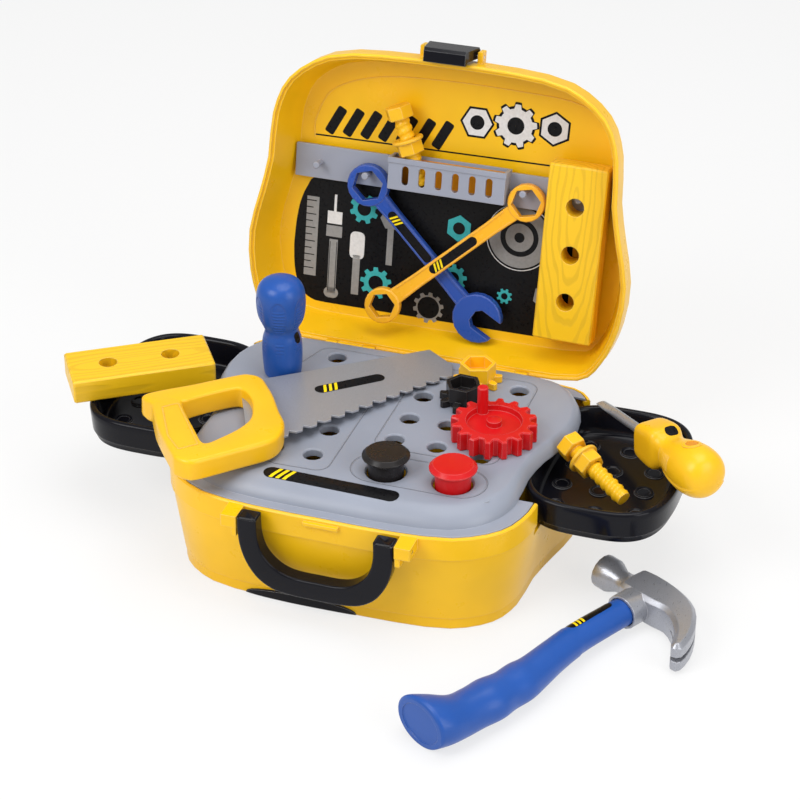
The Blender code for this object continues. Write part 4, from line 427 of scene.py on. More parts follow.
def rounded(corners, radius, steps=6):
    """Closed loop with round corners."""
    loop = []
    count = len(corners)
    for index in range(count):
        before, here, after = (Vector(corners[(index + shift) % count]) for shift in (-1, 0, 1))
        first = (before - here).normalized()
        second = (after - here).normalized()
        half = first.angle(second) / 2
        reach = radius / math.tan(half)
        start, end = here + first * reach, here + second * reach
        centre = here + (first + second).normalized() * (radius / math.sin(half))
        for step in range(steps + 1):
            spoke = (start - centre).slerp(end - centre, step / steps)
            loop.append(centre + spoke.normalized() * radius)
    return loop


def offset(loop, distance):
    """Closed loop moved sideways; a positive distance moves it to the left of its run."""
    result = []
    count = len(loop)
    for index in range(count):
        before, here, after = (Vector(loop[(index + shift) % count]) for shift in (-1, 0, 1))
        run = (after - before).normalized()
        result.append(here + Vector((-run.y, run.x)) * distance)
    return result


def angles(count, start=0.0):
    """Evenly spaced directions of a full turn."""
    return [start + 2 * math.pi * k / count for k in range(count)]


def polar(angle, size, centre=(0.0, 0.0)):
    """Point at a distance from a centre along one direction."""
    return centre[0] + size * math.cos(angle), centre[1] + size * math.sin(angle)


def squared(angle, wide, tall, power):
    """Point of an oval along one direction; a higher power gives squarer corners."""
    c, s = math.cos(angle), math.sin(angle)
    return (wide * math.copysign(abs(c) ** (2 / power), c), tall * math.copysign(abs(s) ** (2 / power), s))


def quarter(centre, radius, start, steps):
    """Quarter arc from a starting direction."""
    return [polar(start + math.pi / 2 * step / steps, radius, centre) for step in range(steps + 1)]


def hexagon_reach(radius, turn):
    """Distance from the middle of a hexagon to its side along one direction."""
    return radius * math.cos(math.pi / 6) / math.cos((turn % (math.pi / 3)) - math.pi / 6)


# Thin printed sheets


def sheet(lower, upper, rows, place, lift, closed=False):
    """Thin closed sheet between two curves of equal count, laid on a surface."""
    columns = len(lower)
    top, under = [], []
    for a, b in zip(lower, upper):
        for row in range(rows + 1):
            share = row / rows
            point, normal = place(a[0] + (b[0] - a[0]) * share, a[1] + (b[1] - a[1]) * share)
            top.append(point + normal * lift)
            under.append(point - normal * SHEET_SINK)
    verts = top + under
    high = len(top)

    def at(column, row, below):
        return (column % columns) * (rows + 1) + row + (high if below else 0)

    faces = []
    for k in range(columns if closed else columns - 1):
        for row in range(rows):
            faces.append((at(k, row, 0), at(k + 1, row, 0), at(k + 1, row + 1, 0), at(k, row + 1, 0)))
            faces.append((at(k, row + 1, 1), at(k + 1, row + 1, 1), at(k + 1, row, 1), at(k, row, 1)))
        faces.append((at(k, 0, 1), at(k + 1, 0, 1), at(k + 1, 0, 0), at(k, 0, 0)))
        faces.append((at(k, rows, 0), at(k + 1, rows, 0), at(k + 1, rows, 1), at(k, rows, 1)))
    if not closed:
        for row in range(rows):
            faces.append((at(0, row, 0), at(0, row + 1, 0), at(0, row + 1, 1), at(0, row, 1)))
            end = columns - 1
            faces.append((at(end, row, 1), at(end, row + 1, 1), at(end, row + 1, 0), at(end, row, 0)))
    return verts, faces


# Flat shapes: two curves of equal count, and whether their ends join

CAPSULE_STEPS = 14
CAPSULE_MIDDLE = 24
CAPSULE_TIP_SHARE = 0.04
NUT_POINTS = 36


def capsule(centre, length, height, angle=0.0, power=2.0):
    """Long rounded shape; a higher power gives squarer ends."""
    half, end = length / 2, height / 2
    points = []
    for side in (-1, 1):
        if side > 0:
            for step in range(1, CAPSULE_MIDDLE):
                points.append(((half - end) * (2 * step / CAPSULE_MIDDLE - 1), end))
        for step in range(CAPSULE_STEPS + 1):
            share = step / CAPSULE_STEPS if side < 0 else 1 - step / CAPSULE_STEPS
            reach, rise = squared(share * math.pi / 2, end, 1.0, power)
            points.append((side * (half - end + reach), max(CAPSULE_TIP_SHARE, rise) * end))
    c, s = math.cos(angle), math.sin(angle)
    below = [(centre[0] + x * c + y * s, centre[1] + x * s - y * c) for x, y in points]
    above = [(centre[0] + x * c - y * s, centre[1] + x * s + y * c) for x, y in points]
    return below, above, False


def slanted(x, width, height, lean):
    """Leaning bar between two level edges."""
    below = [(x + side * width / 2 - lean / 2, -height / 2) for side in (-1, 1)]
    above = [(x + side * width / 2 + lean / 2, height / 2) for side in (-1, 1)]
    return below, above, False


def rectangle(left, right, low, high):
    """Plain flat rectangle."""
    return [(left, low), (right, low)], [(left, high), (right, high)], False


def wheel(centre, inner, root, outer, teeth, turn=0.0, per_tooth=8):
    """Toothed ring, or a plain ring when it has no height of teeth."""
    around = angles(teeth * per_tooth, turn)
    sizes = [outer if k % per_tooth < per_tooth / 2 else root for k in range(len(around))]
    above = [polar(a, size, centre) for a, size in zip(around, sizes)]
    return [polar(a, inner, centre) for a in around], above, True


def nut(centre, inner, outer, turn=0.0):
    """Six-sided ring with a round hole."""
    around = angles(NUT_POINTS, turn)
    above = [polar(a, hexagon_reach(outer, a - turn), centre) for a in around]
    return [polar(a, inner, centre) for a in around], above, True


def band(loop, width):
    """Narrow closed line that follows a loop."""
    return offset(loop, width / 2), offset(loop, -width / 2), True


def drawn(motifs):
    """Shapes of a table whose rows hold a drawing function and its values."""
    return [draw(*values) for draw, *values in motifs]


def printed_shapes(name, shapes, place, lift, finish, body, rows=2):
    """One object from several flat shapes on a surface."""
    solids = [sheet(lower, upper, rows, place, lift, closed) for lower, upper, closed in shapes]
    return place_mesh(name, solids, finish, body)


def flat_place(matrix):
    """Where a flat shape's points go on a plane."""
    normal = matrix.to_3x3() @ Vector((0, 0, 1))
    return lambda u, v: (matrix @ Vector((u, v, 0)), normal)


def solid_tree(node):
    """Search tree over a carried-over solid."""
    mesh = NODES[node].data
    return BVHTree.FromPolygons([v.co for v in mesh.vertices], [tuple(p.vertices) for p in mesh.polygons])


def piece_tree(item):
    """Search tree over a fine piece."""
    return BVHTree.FromObject(item, bpy.context.evaluated_depsgraph_get())


def draped_place(tree, matrix, height):
    """Where a flat shape's points go on a surface, seen along the plane's normal from a height."""
    normal = (matrix.to_3x3() @ Vector((0, 0, 1))).normalized()

    def place(u, v):
        hit, facing, _, _ = tree.ray_cast(matrix @ Vector((u, v, height)), -normal)
        if hit is None:
            return matrix @ Vector((u, v, 0)), normal
        return hit, facing if facing.dot(normal) > 0 else -facing

    return place


def axes(origin, x_axis, z_axis):
    """Frame with a given X direction and a Z direction made square to it."""
    x_axis = Vector(x_axis).normalized()
    z_axis = (Vector(z_axis) - x_axis * Vector(z_axis).dot(x_axis)).normalized()
    y_axis = z_axis.cross(x_axis)
    turn = Matrix((x_axis, y_axis, z_axis)).transposed().to_4x4()
    return Matrix.Translation(origin) @ turn


def turned_place(origin, degrees):
    """Level frame turned about the vertical."""
    return Matrix.Translation(origin) @ Matrix.Rotation(math.radians(degrees), 4, "Z")


def in_lid(x, up, depth):
    """World place of panel coordinates: across, up from the hinge and behind the rim plane."""
    return HINGE + LID_RIGHT * x + LID_UP * up + LID_BACK * depth


# Lid prints, in the panel's across and up coordinates

PANEL_DEPTH = 0.038
PRINT_EDGE = (
    (-0.125, 0.062, 0.066), (-0.124, 0.048, 0.082), (-0.122, 0.038, 0.096), (-0.119, 0.031, 0.106),
    (-0.116, 0.0265, 0.1125), (-0.113, 0.0235, 0.118), (-0.108, 0.021, 0.1195), (-0.1, 0.0198, 0.1195),
    (-0.066, 0.0197, 0.1195), (0.029, 0.0197, 0.1195), (0.098, 0.02, 0.1195),
)
PRINT_EDGE_STEPS = 5
PRINT_FIELD_ROWS = 16
BEAD_POINTS = (
    (-0.1127, 0.1517), (-0.1125, 0.167), (-0.0994, 0.1908), (-0.064, 0.2046), (-0.0138, 0.2085),
    (0.045, 0.2082), (0.0906, 0.2053), (0.115, 0.1944), (0.1197, 0.1826), (0.122, 0.1668),
)
BEAD_CENTRE = 0.13
BEAD_NEAR_SHARE = 0.991
BEAD_LIFT = 0.0005
BAR_COUNT = 7
BAR_FIRST = -0.096
BAR_PITCH = 0.0143
BAR_LEVEL = 0.1665
BAR_LENGTH = 0.0235
BAR_WIDTH = 0.0078
BAR_TURN = math.radians(62)
BAR_POWER = 5.0
LINE_POINTS = ((-0.113, 0.1528), (0.0, 0.1537), (0.091, 0.1545))
LINE_WIDTH = 0.0012
RULER_LEFT = -0.116
RULER_LOW = 0.042
RULER_WIDTH = 0.01
RULER_HEIGHT = 0.06
RULER_MARKS = 11
RULER_START_SHARE = 0.7
RULER_REACH_SHARES = (0.8, 0.55)
MARK_THICK = 0.0008
GREY_MOTIFS = (
    (rectangle, -0.116, -0.106, 0.04, 0.104),
    (rectangle, -0.096, -0.089, 0.028, 0.072),
    (capsule, (-0.0925, 0.0285), 0.012, 0.0085),
    (rectangle, -0.099, -0.086, 0.074, 0.083),
    (rectangle, -0.049, -0.044, 0.058, 0.088),
    (nut, (-0.0465, 0.095), 0.003, 0.009),
    (wheel, (0.056, 0.096), 0.015, 0.024, 0.024, 12),
    (wheel, (0.056, 0.096), 0.004, 0.011, 0.011, 8),
    (wheel, (-0.012, 0.029), 0.0088, 0.01, 0.0124, 10, 0.1),
    (nut, (0.08, 0.052), 0.0045, 0.01, 0.4),
    (rectangle, -0.076, -0.07, 0.03, 0.062),
)
PALE_MOTIFS = (
    (rectangle, -0.0985, -0.0865, 0.0845, 0.0945),
    (rectangle, -0.0935, -0.0915, 0.0945, 0.108),
    (capsule, (-0.073, 0.07), 0.022, 0.012, 1.57, 3.0),
    (wheel, (0.056, 0.096), 0.0255, 0.0262, 0.0262, 12),
)
TEAL_MOTIFS = (
    (wheel, (-0.069, 0.1), 0.0055, 0.009, 0.0118, 8, 0.2),
    (wheel, (0.006, 0.056), 0.005, 0.0085, 0.0112, 9),
    (wheel, (0.048, 0.048), 0.0026, 0.0046, 0.0062, 8, 0.3),
    (nut, (0.008, 0.096), 0.0048, 0.0105, 0.5),
    (wheel, (-0.056, 0.042), 0.006, 0.0098, 0.0128, 9, 0.1),
)
DARK_MOTIFS = (
    (rectangle, -0.0955, -0.095, 0.03, 0.07),
    (rectangle, -0.09, -0.0895, 0.03, 0.07),
)
SIGN_BASE = (
    (nut, (0.016, 0.18), 0.0001, 0.0135),
    (wheel, (0.046, 0.1815), 0.0001, 0.015, 0.0182, 9),
    (nut, (0.076, 0.183), 0.0001, 0.0135, 0.5),
)
SIGN_FACE = (
    (nut, (0.016, 0.18), 0.0056, 0.0116),
    (wheel, (0.046, 0.1815), 0.0066, 0.013, 0.0164, 9),
    (nut, (0.076, 0.183), 0.0056, 0.0116, 0.5),
)
PANEL_SEEN_FROM = 0.012
# Sheet of painted shade on the back wall of the rack's pocket, and the depth of that wall
POCKET_SHADE = (-0.043, 0.045, 0.1266, 0.147)
POCKET_DEPTH = 0.0314


def panel_matrix(depth):
    """Plane across the lid at a depth behind its rim, facing the viewer."""
    return axes(in_lid(0, 0, depth), LID_RIGHT, -LID_BACK)


def print_field(place):
    """Black field behind the hanging tools."""
    columns = smooth_points(PRINT_EDGE, PRINT_EDGE_STEPS)
    lower = [(x, low) for x, low, _ in columns]
    upper = [(x, high) for x, _, high in columns]
    field = (lower, upper, False)
    printed_shapes("lid_print_field", [field], place, PRINT_LIFT, "print_black", "lid", PRINT_FIELD_ROWS)


def print_lines(place):
    """Slanted bars and a thin line above the rack."""
    shapes = []
    for k in range(BAR_COUNT):
        centre = (BAR_FIRST + k * BAR_PITCH, BAR_LEVEL)
        shapes.append(capsule(centre, BAR_LENGTH, BAR_WIDTH, BAR_TURN, BAR_POWER))
    shapes.append((LINE_POINTS, [(x, up + LINE_WIDTH) for x, up in LINE_POINTS], False))
    printed_shapes("lid_print_bars", shapes, place, PRINT_LIFT, "print_black", "lid")


def ruler_marks():
    """Tick marks across the ruler."""
    marks = []
    for k in range(RULER_MARKS):
        level = RULER_LOW + RULER_HEIGHT * (k + RULER_START_SHARE) / RULER_MARKS
        reach = RULER_WIDTH * RULER_REACH_SHARES[k % 2]
        marks.append(rectangle(RULER_LEFT, RULER_LEFT + reach, level, level + MARK_THICK))
    return marks


def print_motifs(place):
    """Generic workshop motifs on the black field and a row of plain signs above the rack."""
    for name, shapes, layer, finish in (
        ("print_grey", drawn(GREY_MOTIFS), 1, "print_grey"),
        ("print_pale", drawn(PALE_MOTIFS), 1, "print_pale"),
        ("print_teal", drawn(TEAL_MOTIFS), 1, "print_teal"),
        ("print_marks", ruler_marks() + drawn(DARK_MOTIFS), 2, "print_black"),
        ("sign_base", drawn(SIGN_BASE), 0, "print_black"),
        ("sign_face", drawn(SIGN_FACE), 1, "print_pale"),
    ):
        printed_shapes("lid_" + name, shapes, place, PRINT_LIFT + layer * LAYER_STEP, finish, "lid")


def panel_bead(place):
    """Fine raised line that follows the lid's outline over the upper part of its panel."""
    curve = smooth_points(BEAD_POINTS, CURVE_STEPS)
    near = [(x * BEAD_NEAR_SHARE, BEAD_CENTRE + (v - BEAD_CENTRE) * BEAD_NEAR_SHARE) for x, v in curve]
    printed_shapes("lid_panel_bead", [(near, curve, False)], place, BEAD_LIFT, "case", "lid")


def lid_prints():
    """Everything printed or moulded fine on the lid's panel."""
    place = draped_place(solid_tree("lid_shell"), panel_matrix(PANEL_DEPTH), PANEL_SEEN_FROM)
    for part in (print_field, print_lines, print_motifs, panel_bead):
        part(place)


def pocket_shade():
    """Painted shade: a dark amber sheet on the back wall of the rack's pocket, seen through its slots."""
    place = flat_place(panel_matrix(POCKET_DEPTH))
    printed_shapes("rack_pocket_shade", [rectangle(*POCKET_SHADE)], place, PRINT_LIFT, "painted_shade_amber", "lid")


# Labels, with stripes sized as shares of the label's height

STRIPE_COUNT = 3
STRIPE_WIDTH_SHARE = 0.22
STRIPE_PITCH_SHARE = 0.418
STRIPE_START_SHARE = 0.75
STRIPE_HEIGHT_SHARE = 0.92
STRIPE_LEAN_SHARE = 0.36
SPANNER_HALF_THICK = 0.003
SPANNER_SHAFT_HALF = 0.0068
SPANNER_WAIST_HALF = 0.0056
SPANNER_BORDER_SHARES = (0.13, 0.25, 0.5, 0.75, 0.87)
SPANNER_WAIST_SHARES = (0.2, 0.8)
SPANNER_BORDER_INSET = 0.0006
SPANNER_LINE_WIDTH = 0.0013
SPANNER_LINE_LIFT = 0.0005
SPANNER_LABEL_HEIGHT = 0.007
SPANNERS = (
    ("blue_spanner", (-0.063, 0.1227, 0.0274), (0.031, 0.031, 0.0274), (0.2, 0.57), "spanner_blue"),
    ("yellow_spanner", (-0.0417, 0.0332, 0.015), (0.0625, 0.1276, 0.0255), (0.34, 0.66), "amber"),
)
SAW_PLACE = turned_place((-0.0756, -0.0194, 0.1031), 49.2) @ Matrix.Rotation(math.radians(2.9), 4, "Y")
SAW_LABEL_PLACE = turned_place((0.069, 0.0022, 0.0008), -4.0)
SAW_LABEL = (0.056, 0.0105)


def striped_label(name, place, length, height, body):
    """Black capsule with slanted yellow stripes at its near end."""
    printed_shapes(name, [capsule((0, 0), length, height)], place, LABEL_LIFT, "print_black", body, rows=4)
    stripes = []
    for k in range(STRIPE_COUNT):
        x = height * (STRIPE_START_SHARE + k * STRIPE_PITCH_SHARE) - length / 2
        stripes.append(slanted(x, height * STRIPE_WIDTH_SHARE, height * STRIPE_HEIGHT_SHARE,
                               height * STRIPE_LEAN_SHARE))
    printed_shapes(name + "_stripes", stripes, place, LABEL_LIFT + LAYER_STEP, "print_yellow", body, rows=4)


def spanner_border(length, side):
    """Raised line along one side of a spanner's shaft."""
    low, high = SPANNER_WAIST_SHARES
    inner, outer = [], []
    for share in SPANNER_BORDER_SHARES:
        half = SPANNER_WAIST_HALF if low < share < high else (SPANNER_WAIST_HALF + SPANNER_SHAFT_HALF) / 2
        outer.append((share * length, side * (half - SPANNER_BORDER_INSET)))
        inner.append((share * length, side * (half - SPANNER_BORDER_INSET - SPANNER_LINE_WIDTH)))
    return (inner, outer, False) if side > 0 else (outer, inner, False)


def spanner_details(body, start, end, label, finish):
    """Raised borders along the shaft and a label between them."""
    start, end = in_lid(*start), in_lid(*end)
    length = (end - start).length
    matrix = axes(start, end - start, -LID_BACK) @ Matrix.Translation((0, 0, SPANNER_HALF_THICK))
    borders = [spanner_border(length, side) for side in (-1, 1)]
    printed_shapes(body + "_borders", borders, flat_place(matrix), SPANNER_LINE_LIFT, finish, body)
    near, far = label
    middle = matrix @ Matrix.Translation(((near + far) / 2 * length, 0, 0))
    striped_label(body + "_label", flat_place(middle), (far - near) * length, SPANNER_LABEL_HEIGHT, body)


def saw_label():
    """Label on the blade."""
    striped_label("saw_label", flat_place(SAW_PLACE @ SAW_LABEL_PLACE), *SAW_LABEL, "saw")


# Bench lines: corners and corner radius of each loop

BENCH_TOP = 0.0937
BENCH_LOOPS = (
    (((-0.0115, -0.074), (-0.0115, 0.09), (-0.072, 0.09), (-0.088, 0.04), (-0.08, -0.02), (-0.08, -0.064),
      (-0.05, -0.075)), 0.01),
    (((0.007, -0.0315), (0.0985, -0.03), (0.0985, 0.0885), (0.007, 0.0885)), 0.0105),
    (((0.002, -0.076), (0.101, -0.076), (0.101, -0.039), (0.002, -0.039)), 0.018),
)
GROOVE_WIDTH = 0.0006
GROOVE_LIFT = 0.00006
GROOVE_EDGE = (0.0007, 0.0005)
GROOVE_EDGE_LIFT = 0.00018
BENCH_LABEL = (0.1, 0.012)
BENCH_LABEL_PLACE = turned_place((-0.003, -0.0865, BENCH_TOP), -1.0)
BENCH_SEEN_FROM = 0.02


def bench_details():
    """Engraved lines on the bench, drawn as dark lines of painted shade with a thin raised band beside each,
    and the label on its front shoulder.
    """
    place = flat_place(Matrix.Translation((0, 0, BENCH_TOP)))
    loops = [rounded(corners, radius) for corners, radius in BENCH_LOOPS]
    lines = [band(loop, GROOVE_WIDTH) for loop in loops]
    # Dark lines of painted shade where the grooves are engraved
    printed_shapes("bench_lines", lines, place, GROOVE_LIFT, "groove", "case", rows=1)
    away, width = GROOVE_EDGE
    bright = [band(offset(loop, away), width) for loop in loops]
    printed_shapes("bench_line_edges", bright, place, GROOVE_EDGE_LIFT, "bench", "case", rows=1)
    draped = draped_place(solid_tree("bench_plate"), BENCH_LABEL_PLACE, BENCH_SEEN_FROM)
    striped_label("bench_label", draped, *BENCH_LABEL, "case")


# Trays

TRAY_RINGS = (
    (0.0046, 0.057), (0.0034, 0.0574), (0.003, 0.0586), (0.003, 0.0618), (0.0024, 0.0624), (0.001, 0.063),
    (0.0002, 0.076), (0.0, 0.08), (0.0005, 0.0813), (0.0016, 0.082), (0.0032, 0.0821), (0.0044, 0.0818),
    (0.0052, 0.081), (0.006, 0.079), (0.0084, 0.068), (0.0092, 0.0655), (0.0106, 0.0634), (0.013, 0.062),
)
TRAY_HALF_X = 0.055
TRAY_HALF_Y = 0.071
TRAY_POWER = 3.15
TRAY_CENTRES = {"left": (-0.168, 0.0255), "right": (0.168, 0.0255)}
DISC_SHARES = (
    (-0.52, -0.58), (0.0, -0.6), (0.52, -0.5), (-0.56, -0.2), (-0.06, -0.21), (0.5, -0.1),
    (-0.52, 0.2), (0.0, 0.18), (0.52, 0.28), (-0.44, 0.58), (0.1, 0.58),
)
DISC_PROFILE = (
    (0.0001, 0.0626), (0.0046, 0.0626), (0.0051, 0.0632), (0.006, 0.0635), (0.0067, 0.0632), (0.007, 0.0618),
)
DISC_POINTS = 32
TRAY_POINTS = 120
TRAY_SMOOTH = 50.0


def fine_tray(side):
    """Tray with a rolled rim, soft corners and ringed discs on its floor."""
    x, y = TRAY_CENTRES[side]
    mirror = -1 if side == "left" else 1
    outline = [squared(a, TRAY_HALF_X, TRAY_HALF_Y, TRAY_POWER) for a in angles(TRAY_POINTS)]
    solids = [loft([[(x + p.x, y + p.y, height) for p in offset(outline, distance)]
                    for distance, height in TRAY_RINGS])]
    for across, up in DISC_SHARES:
        centre = (x + mirror * across * TRAY_HALF_X, y + up * TRAY_HALF_Y)
        solids.append(loft([[(*polar(a, radius, centre), height) for a in angles(DISC_POINTS)]
                            for radius, height in DISC_PROFILE]))
    body = "tray_" + side
    place_mesh(body + "_fine", solids, "jet", body, TRAY_SMOOTH, body)


# Carry handle, with shares of its half width and height for points across it

HANDLE_PIVOT = Vector((0, -0.124, 0.0765))
HANDLE_DEPTH = 0.012
HANDLE_ROUND = 0.0017
HANDLE_BEVEL = 0.001
HANDLE_HALF = 0.0565
HANDLE_HEIGHT = 0.0525
HANDLE_SHARES = (
    (1.0, 0.105, 0.75, 0.105), (1.0, -0.12, 0.75, -0.08), (0.975, -0.36, 0.735, -0.24),
    (0.9, -0.6, 0.69, -0.4), (0.76, -0.82, 0.6, -0.54), (0.56, -0.955, 0.46, -0.655),
    (0.3, -1.0, 0.28, -0.71), (0.0, -1.005, 0.0, -0.715),
)
HANDLE_STEPS = 12
HANDLE_SMOOTH = 40.0


def handle_ring(shares, less=0.0, drop=0.0):
    """Round-cornered section of the carry handle between two points of its outline."""
    outer_x, outer_z, inner_x, inner_z = shares
    outer = Vector((outer_x * HANDLE_HALF, 0, outer_z * HANDLE_HEIGHT))
    inner = Vector((inner_x * HANDLE_HALF, 0, inner_z * HANDLE_HEIGHT))
    middle = (outer + inner) / 2 + HANDLE_PIVOT - Vector((0, 0, drop))
    half = (outer - inner).length / 2 - less
    deep = HANDLE_DEPTH / 2 - less
    across = (outer - inner).normalized()
    corners = ((-half, -deep), (half, -deep), (half, deep), (-half, deep))
    return [middle + across * point.x + Vector((0, point.y, 0)) for point in rounded(corners, HANDLE_ROUND)]


def fine_handle():
    """Carry handle with a smooth outline, round edges and bevelled ends."""
    left = [(-x, z, -inner_x, inner_z) for x, z, inner_x, inner_z in HANDLE_SHARES[:-1]]
    curve = smooth_points(left + list(reversed(HANDLE_SHARES)), HANDLE_STEPS)
    first, last = (
        (handle_ring(end, less=HANDLE_BEVEL), handle_ring(end, drop=HANDLE_BEVEL))
        for end in (curve[0], curve[-1])
    )
    rings = [*first, *(handle_ring(shares) for shares in curve[1:-1]), *reversed(last)]
    place_mesh("carry_handle_fine", [loft(rings)], "jet", "handle", HANDLE_SMOOTH, "carry_handle")


# Blue screwdriver handle, with shares of its length and radius


DRIVER_LENGTH = 0.08
DRIVER_RADIUS = 0.0182
DRIVER_SHARES = (
    (0.0, 0.66), (0.02, 0.76), (0.2, 0.82), (0.36, 0.8), (0.45, 0.7), (0.5, 0.72),
    (0.58, 0.9), (0.68, 0.99), (0.8, 1.0), (0.89, 0.93), (0.95, 0.76), (0.985, 0.48),
    (1.0, 0.22),
)
BLUE_DRIVER = (-0.089, 0.0445, 0.094)
PAD_COUNT = 6
PAD_TURN = math.radians(14.0)
PAD_SINK = 0.0006
PAD_RIB = 0.0003
RIB_PITCH = 0.0027
PAD_LOW, PAD_MIDDLE, PAD_HIGH = 0.5, 0.72, 0.84
PAD_WIDTH = 0.66
LOWER_RIBS = (0.27, 0.4)
LOWER_RIB_WIDTH = 0.36
PAD_BEVEL_SHARE = 0.1
PAD_START_SHARE = 0.06
RIB_MARGIN_SHARE = 0.16
RIB_END_SHARE = 0.04
BLUE_STEPS = 16
BLUE_AROUND = 180
BLUE_SMOOTH = 60.0
BLUE_BADGE_ROWS = 6
BLUE_BADGE = (0.0086, 0.0062, math.pi / 2)
BLUE_BADGE_TURN = math.radians(78.67)
BLUE_BADGE_SHARE = 0.415
BLUE_SEEN_FROM = 0.03


def grip_relief(height, across):
    """How far the grip's surface stands off its smooth profile at a height and a share across a pad."""
    wave = math.cos(height * DRIVER_LENGTH / RIB_PITCH * 2 * math.pi)
    relief = 0.0
    if PAD_LOW < height < PAD_HIGH:
        rise = max(0.0, (height - PAD_MIDDLE) / (PAD_HIGH - PAD_MIDDLE))
        arch = PAD_WIDTH * math.sqrt(max(0.0, 1.0 - rise * rise))
        if across < arch:
            bevel = min(1.0, (arch - across) / PAD_BEVEL_SHARE)
            relief -= PAD_SINK * bevel * min(1.0, (height - PAD_LOW) / PAD_START_SHARE)
            if across < arch - RIB_MARGIN_SHARE and height < PAD_MIDDLE + RIB_END_SHARE:
                relief += PAD_RIB * wave
    if LOWER_RIBS[0] < height < LOWER_RIBS[1] and across < LOWER_RIB_WIDTH:
        relief += PAD_RIB * wave
    return relief


def blue_driver():
    """Bulb handle with sunk arched grip pads, fine grip lines and a bare oval label."""
    rings = []
    for height, share in smooth_points(DRIVER_SHARES, BLUE_STEPS):
        ring = []
        for turn in angles(BLUE_AROUND):
            lean = ((turn - PAD_TURN) * PAD_COUNT / (2 * math.pi) + 0.5) % 1.0 - 0.5
            size = share * DRIVER_RADIUS + grip_relief(height, abs(lean) * 2)
            ring.append((BLUE_DRIVER[0] + size * math.sin(turn), BLUE_DRIVER[1] - size * math.cos(turn),
                         BLUE_DRIVER[2] + height * DRIVER_LENGTH))
        rings.append(ring)
    item = place_mesh("blue_driver_grip", [loft(rings)], "blue", "blue_driver", BLUE_SMOOTH,
                      "blue_driver_handle")
    out = Vector((math.sin(BLUE_BADGE_TURN), -math.cos(BLUE_BADGE_TURN), 0))
    up = Vector((0, 0, 1))
    matrix = axes(Vector(BLUE_DRIVER) + up * BLUE_BADGE_SHARE * DRIVER_LENGTH, up.cross(out), out)
    place = draped_place(piece_tree(item), matrix, BLUE_SEEN_FROM)
    printed_shapes("blue_driver_badge", [capsule((0, 0), *BLUE_BADGE)], place, LABEL_LIFT, "print_black",
                   "blue_driver", BLUE_BADGE_ROWS)


# Yellow screwdriver handle, with shares of its length, half width, half height and squareness

YELLOW_DRIVER_TIP = Vector((0.1395, 0.0935, 0.0862))
YELLOW_DRIVER_BUTT = Vector((0.248, -0.009, 0.101))
BULB_SHARES = (
    (0.0, 0.56, 0.56, 5.0), (0.012, 0.68, 0.68, 5.0), (0.06, 0.73, 0.76, 5.0), (0.2, 0.76, 0.86, 4.8),
    (0.28, 0.75, 0.86, 4.2), (0.33, 0.68, 0.74, 3.4), (0.38, 0.66, 0.66, 2.8), (0.44, 0.71, 0.68, 2.4),
    (0.52, 0.83, 0.8, 2.1), (0.62, 0.95, 0.93, 2.0), (0.74, 1.0, 1.0, 2.0), (0.85, 0.96, 0.96, 2.0),
    (0.93, 0.82, 0.82, 2.0), (0.975, 0.58, 0.58, 2.0), (1.0, 0.24, 0.24, 2.0),
)
FLANGE_START = 0.42
FLANGE_SHARE = 0.055
FLANGE_HEIGHT = -0.42
SIDE_RIB = 0.00036
SIDE_RIB_PITCH = 0.0022
SIDE_RIB_SPAN = (0.4, 0.62)
SIDE_RIB_REACH = (0.2, 0.36)
FLANGE_FADE = 0.1
YELLOW_STEPS = 18
YELLOW_AROUND = 120
YELLOW_SMOOTH = 40.0
YELLOW_SEEN_FROM = 0.05
YELLOW_BADGE = ((0.0255, 0.003), 0.01, 0.0078, math.pi / 2)
YELLOW_EYE = ((0.0555, 0.0), 0.0046, 0.0068, 0.0068, 12)
YELLOW_EYE_LIFT = 0.0006
# Disc of painted shade inside the ringed hole, and its lift
YELLOW_HOLE_SHADE = ((0.0555, 0.0), 0.0093, 0.0092)
YELLOW_HOLE_SHADE_LIFT = 0.00012


def yellow_driver_ring(along, wide, tall, power):
    """Cross-section of the yellow handle with its part-line band and side grip lines."""
    ring = []
    for turn in angles(YELLOW_AROUND):
        s = math.sin(turn)
        size = DRIVER_RADIUS
        if s < FLANGE_HEIGHT and along > FLANGE_START:
            size += DRIVER_RADIUS * FLANGE_SHARE * min(1.0, (along - FLANGE_START) / FLANGE_FADE)
        elif SIDE_RIB_SPAN[0] < along < SIDE_RIB_SPAN[1] and abs(s - SIDE_RIB_REACH[0]) < SIDE_RIB_REACH[1]:
            size += SIDE_RIB * math.cos(along * DRIVER_LENGTH / SIDE_RIB_PITCH * 2 * math.pi)
        ring.append((along * DRIVER_LENGTH, *squared(turn, size * wide, size * tall, power)))
    return ring


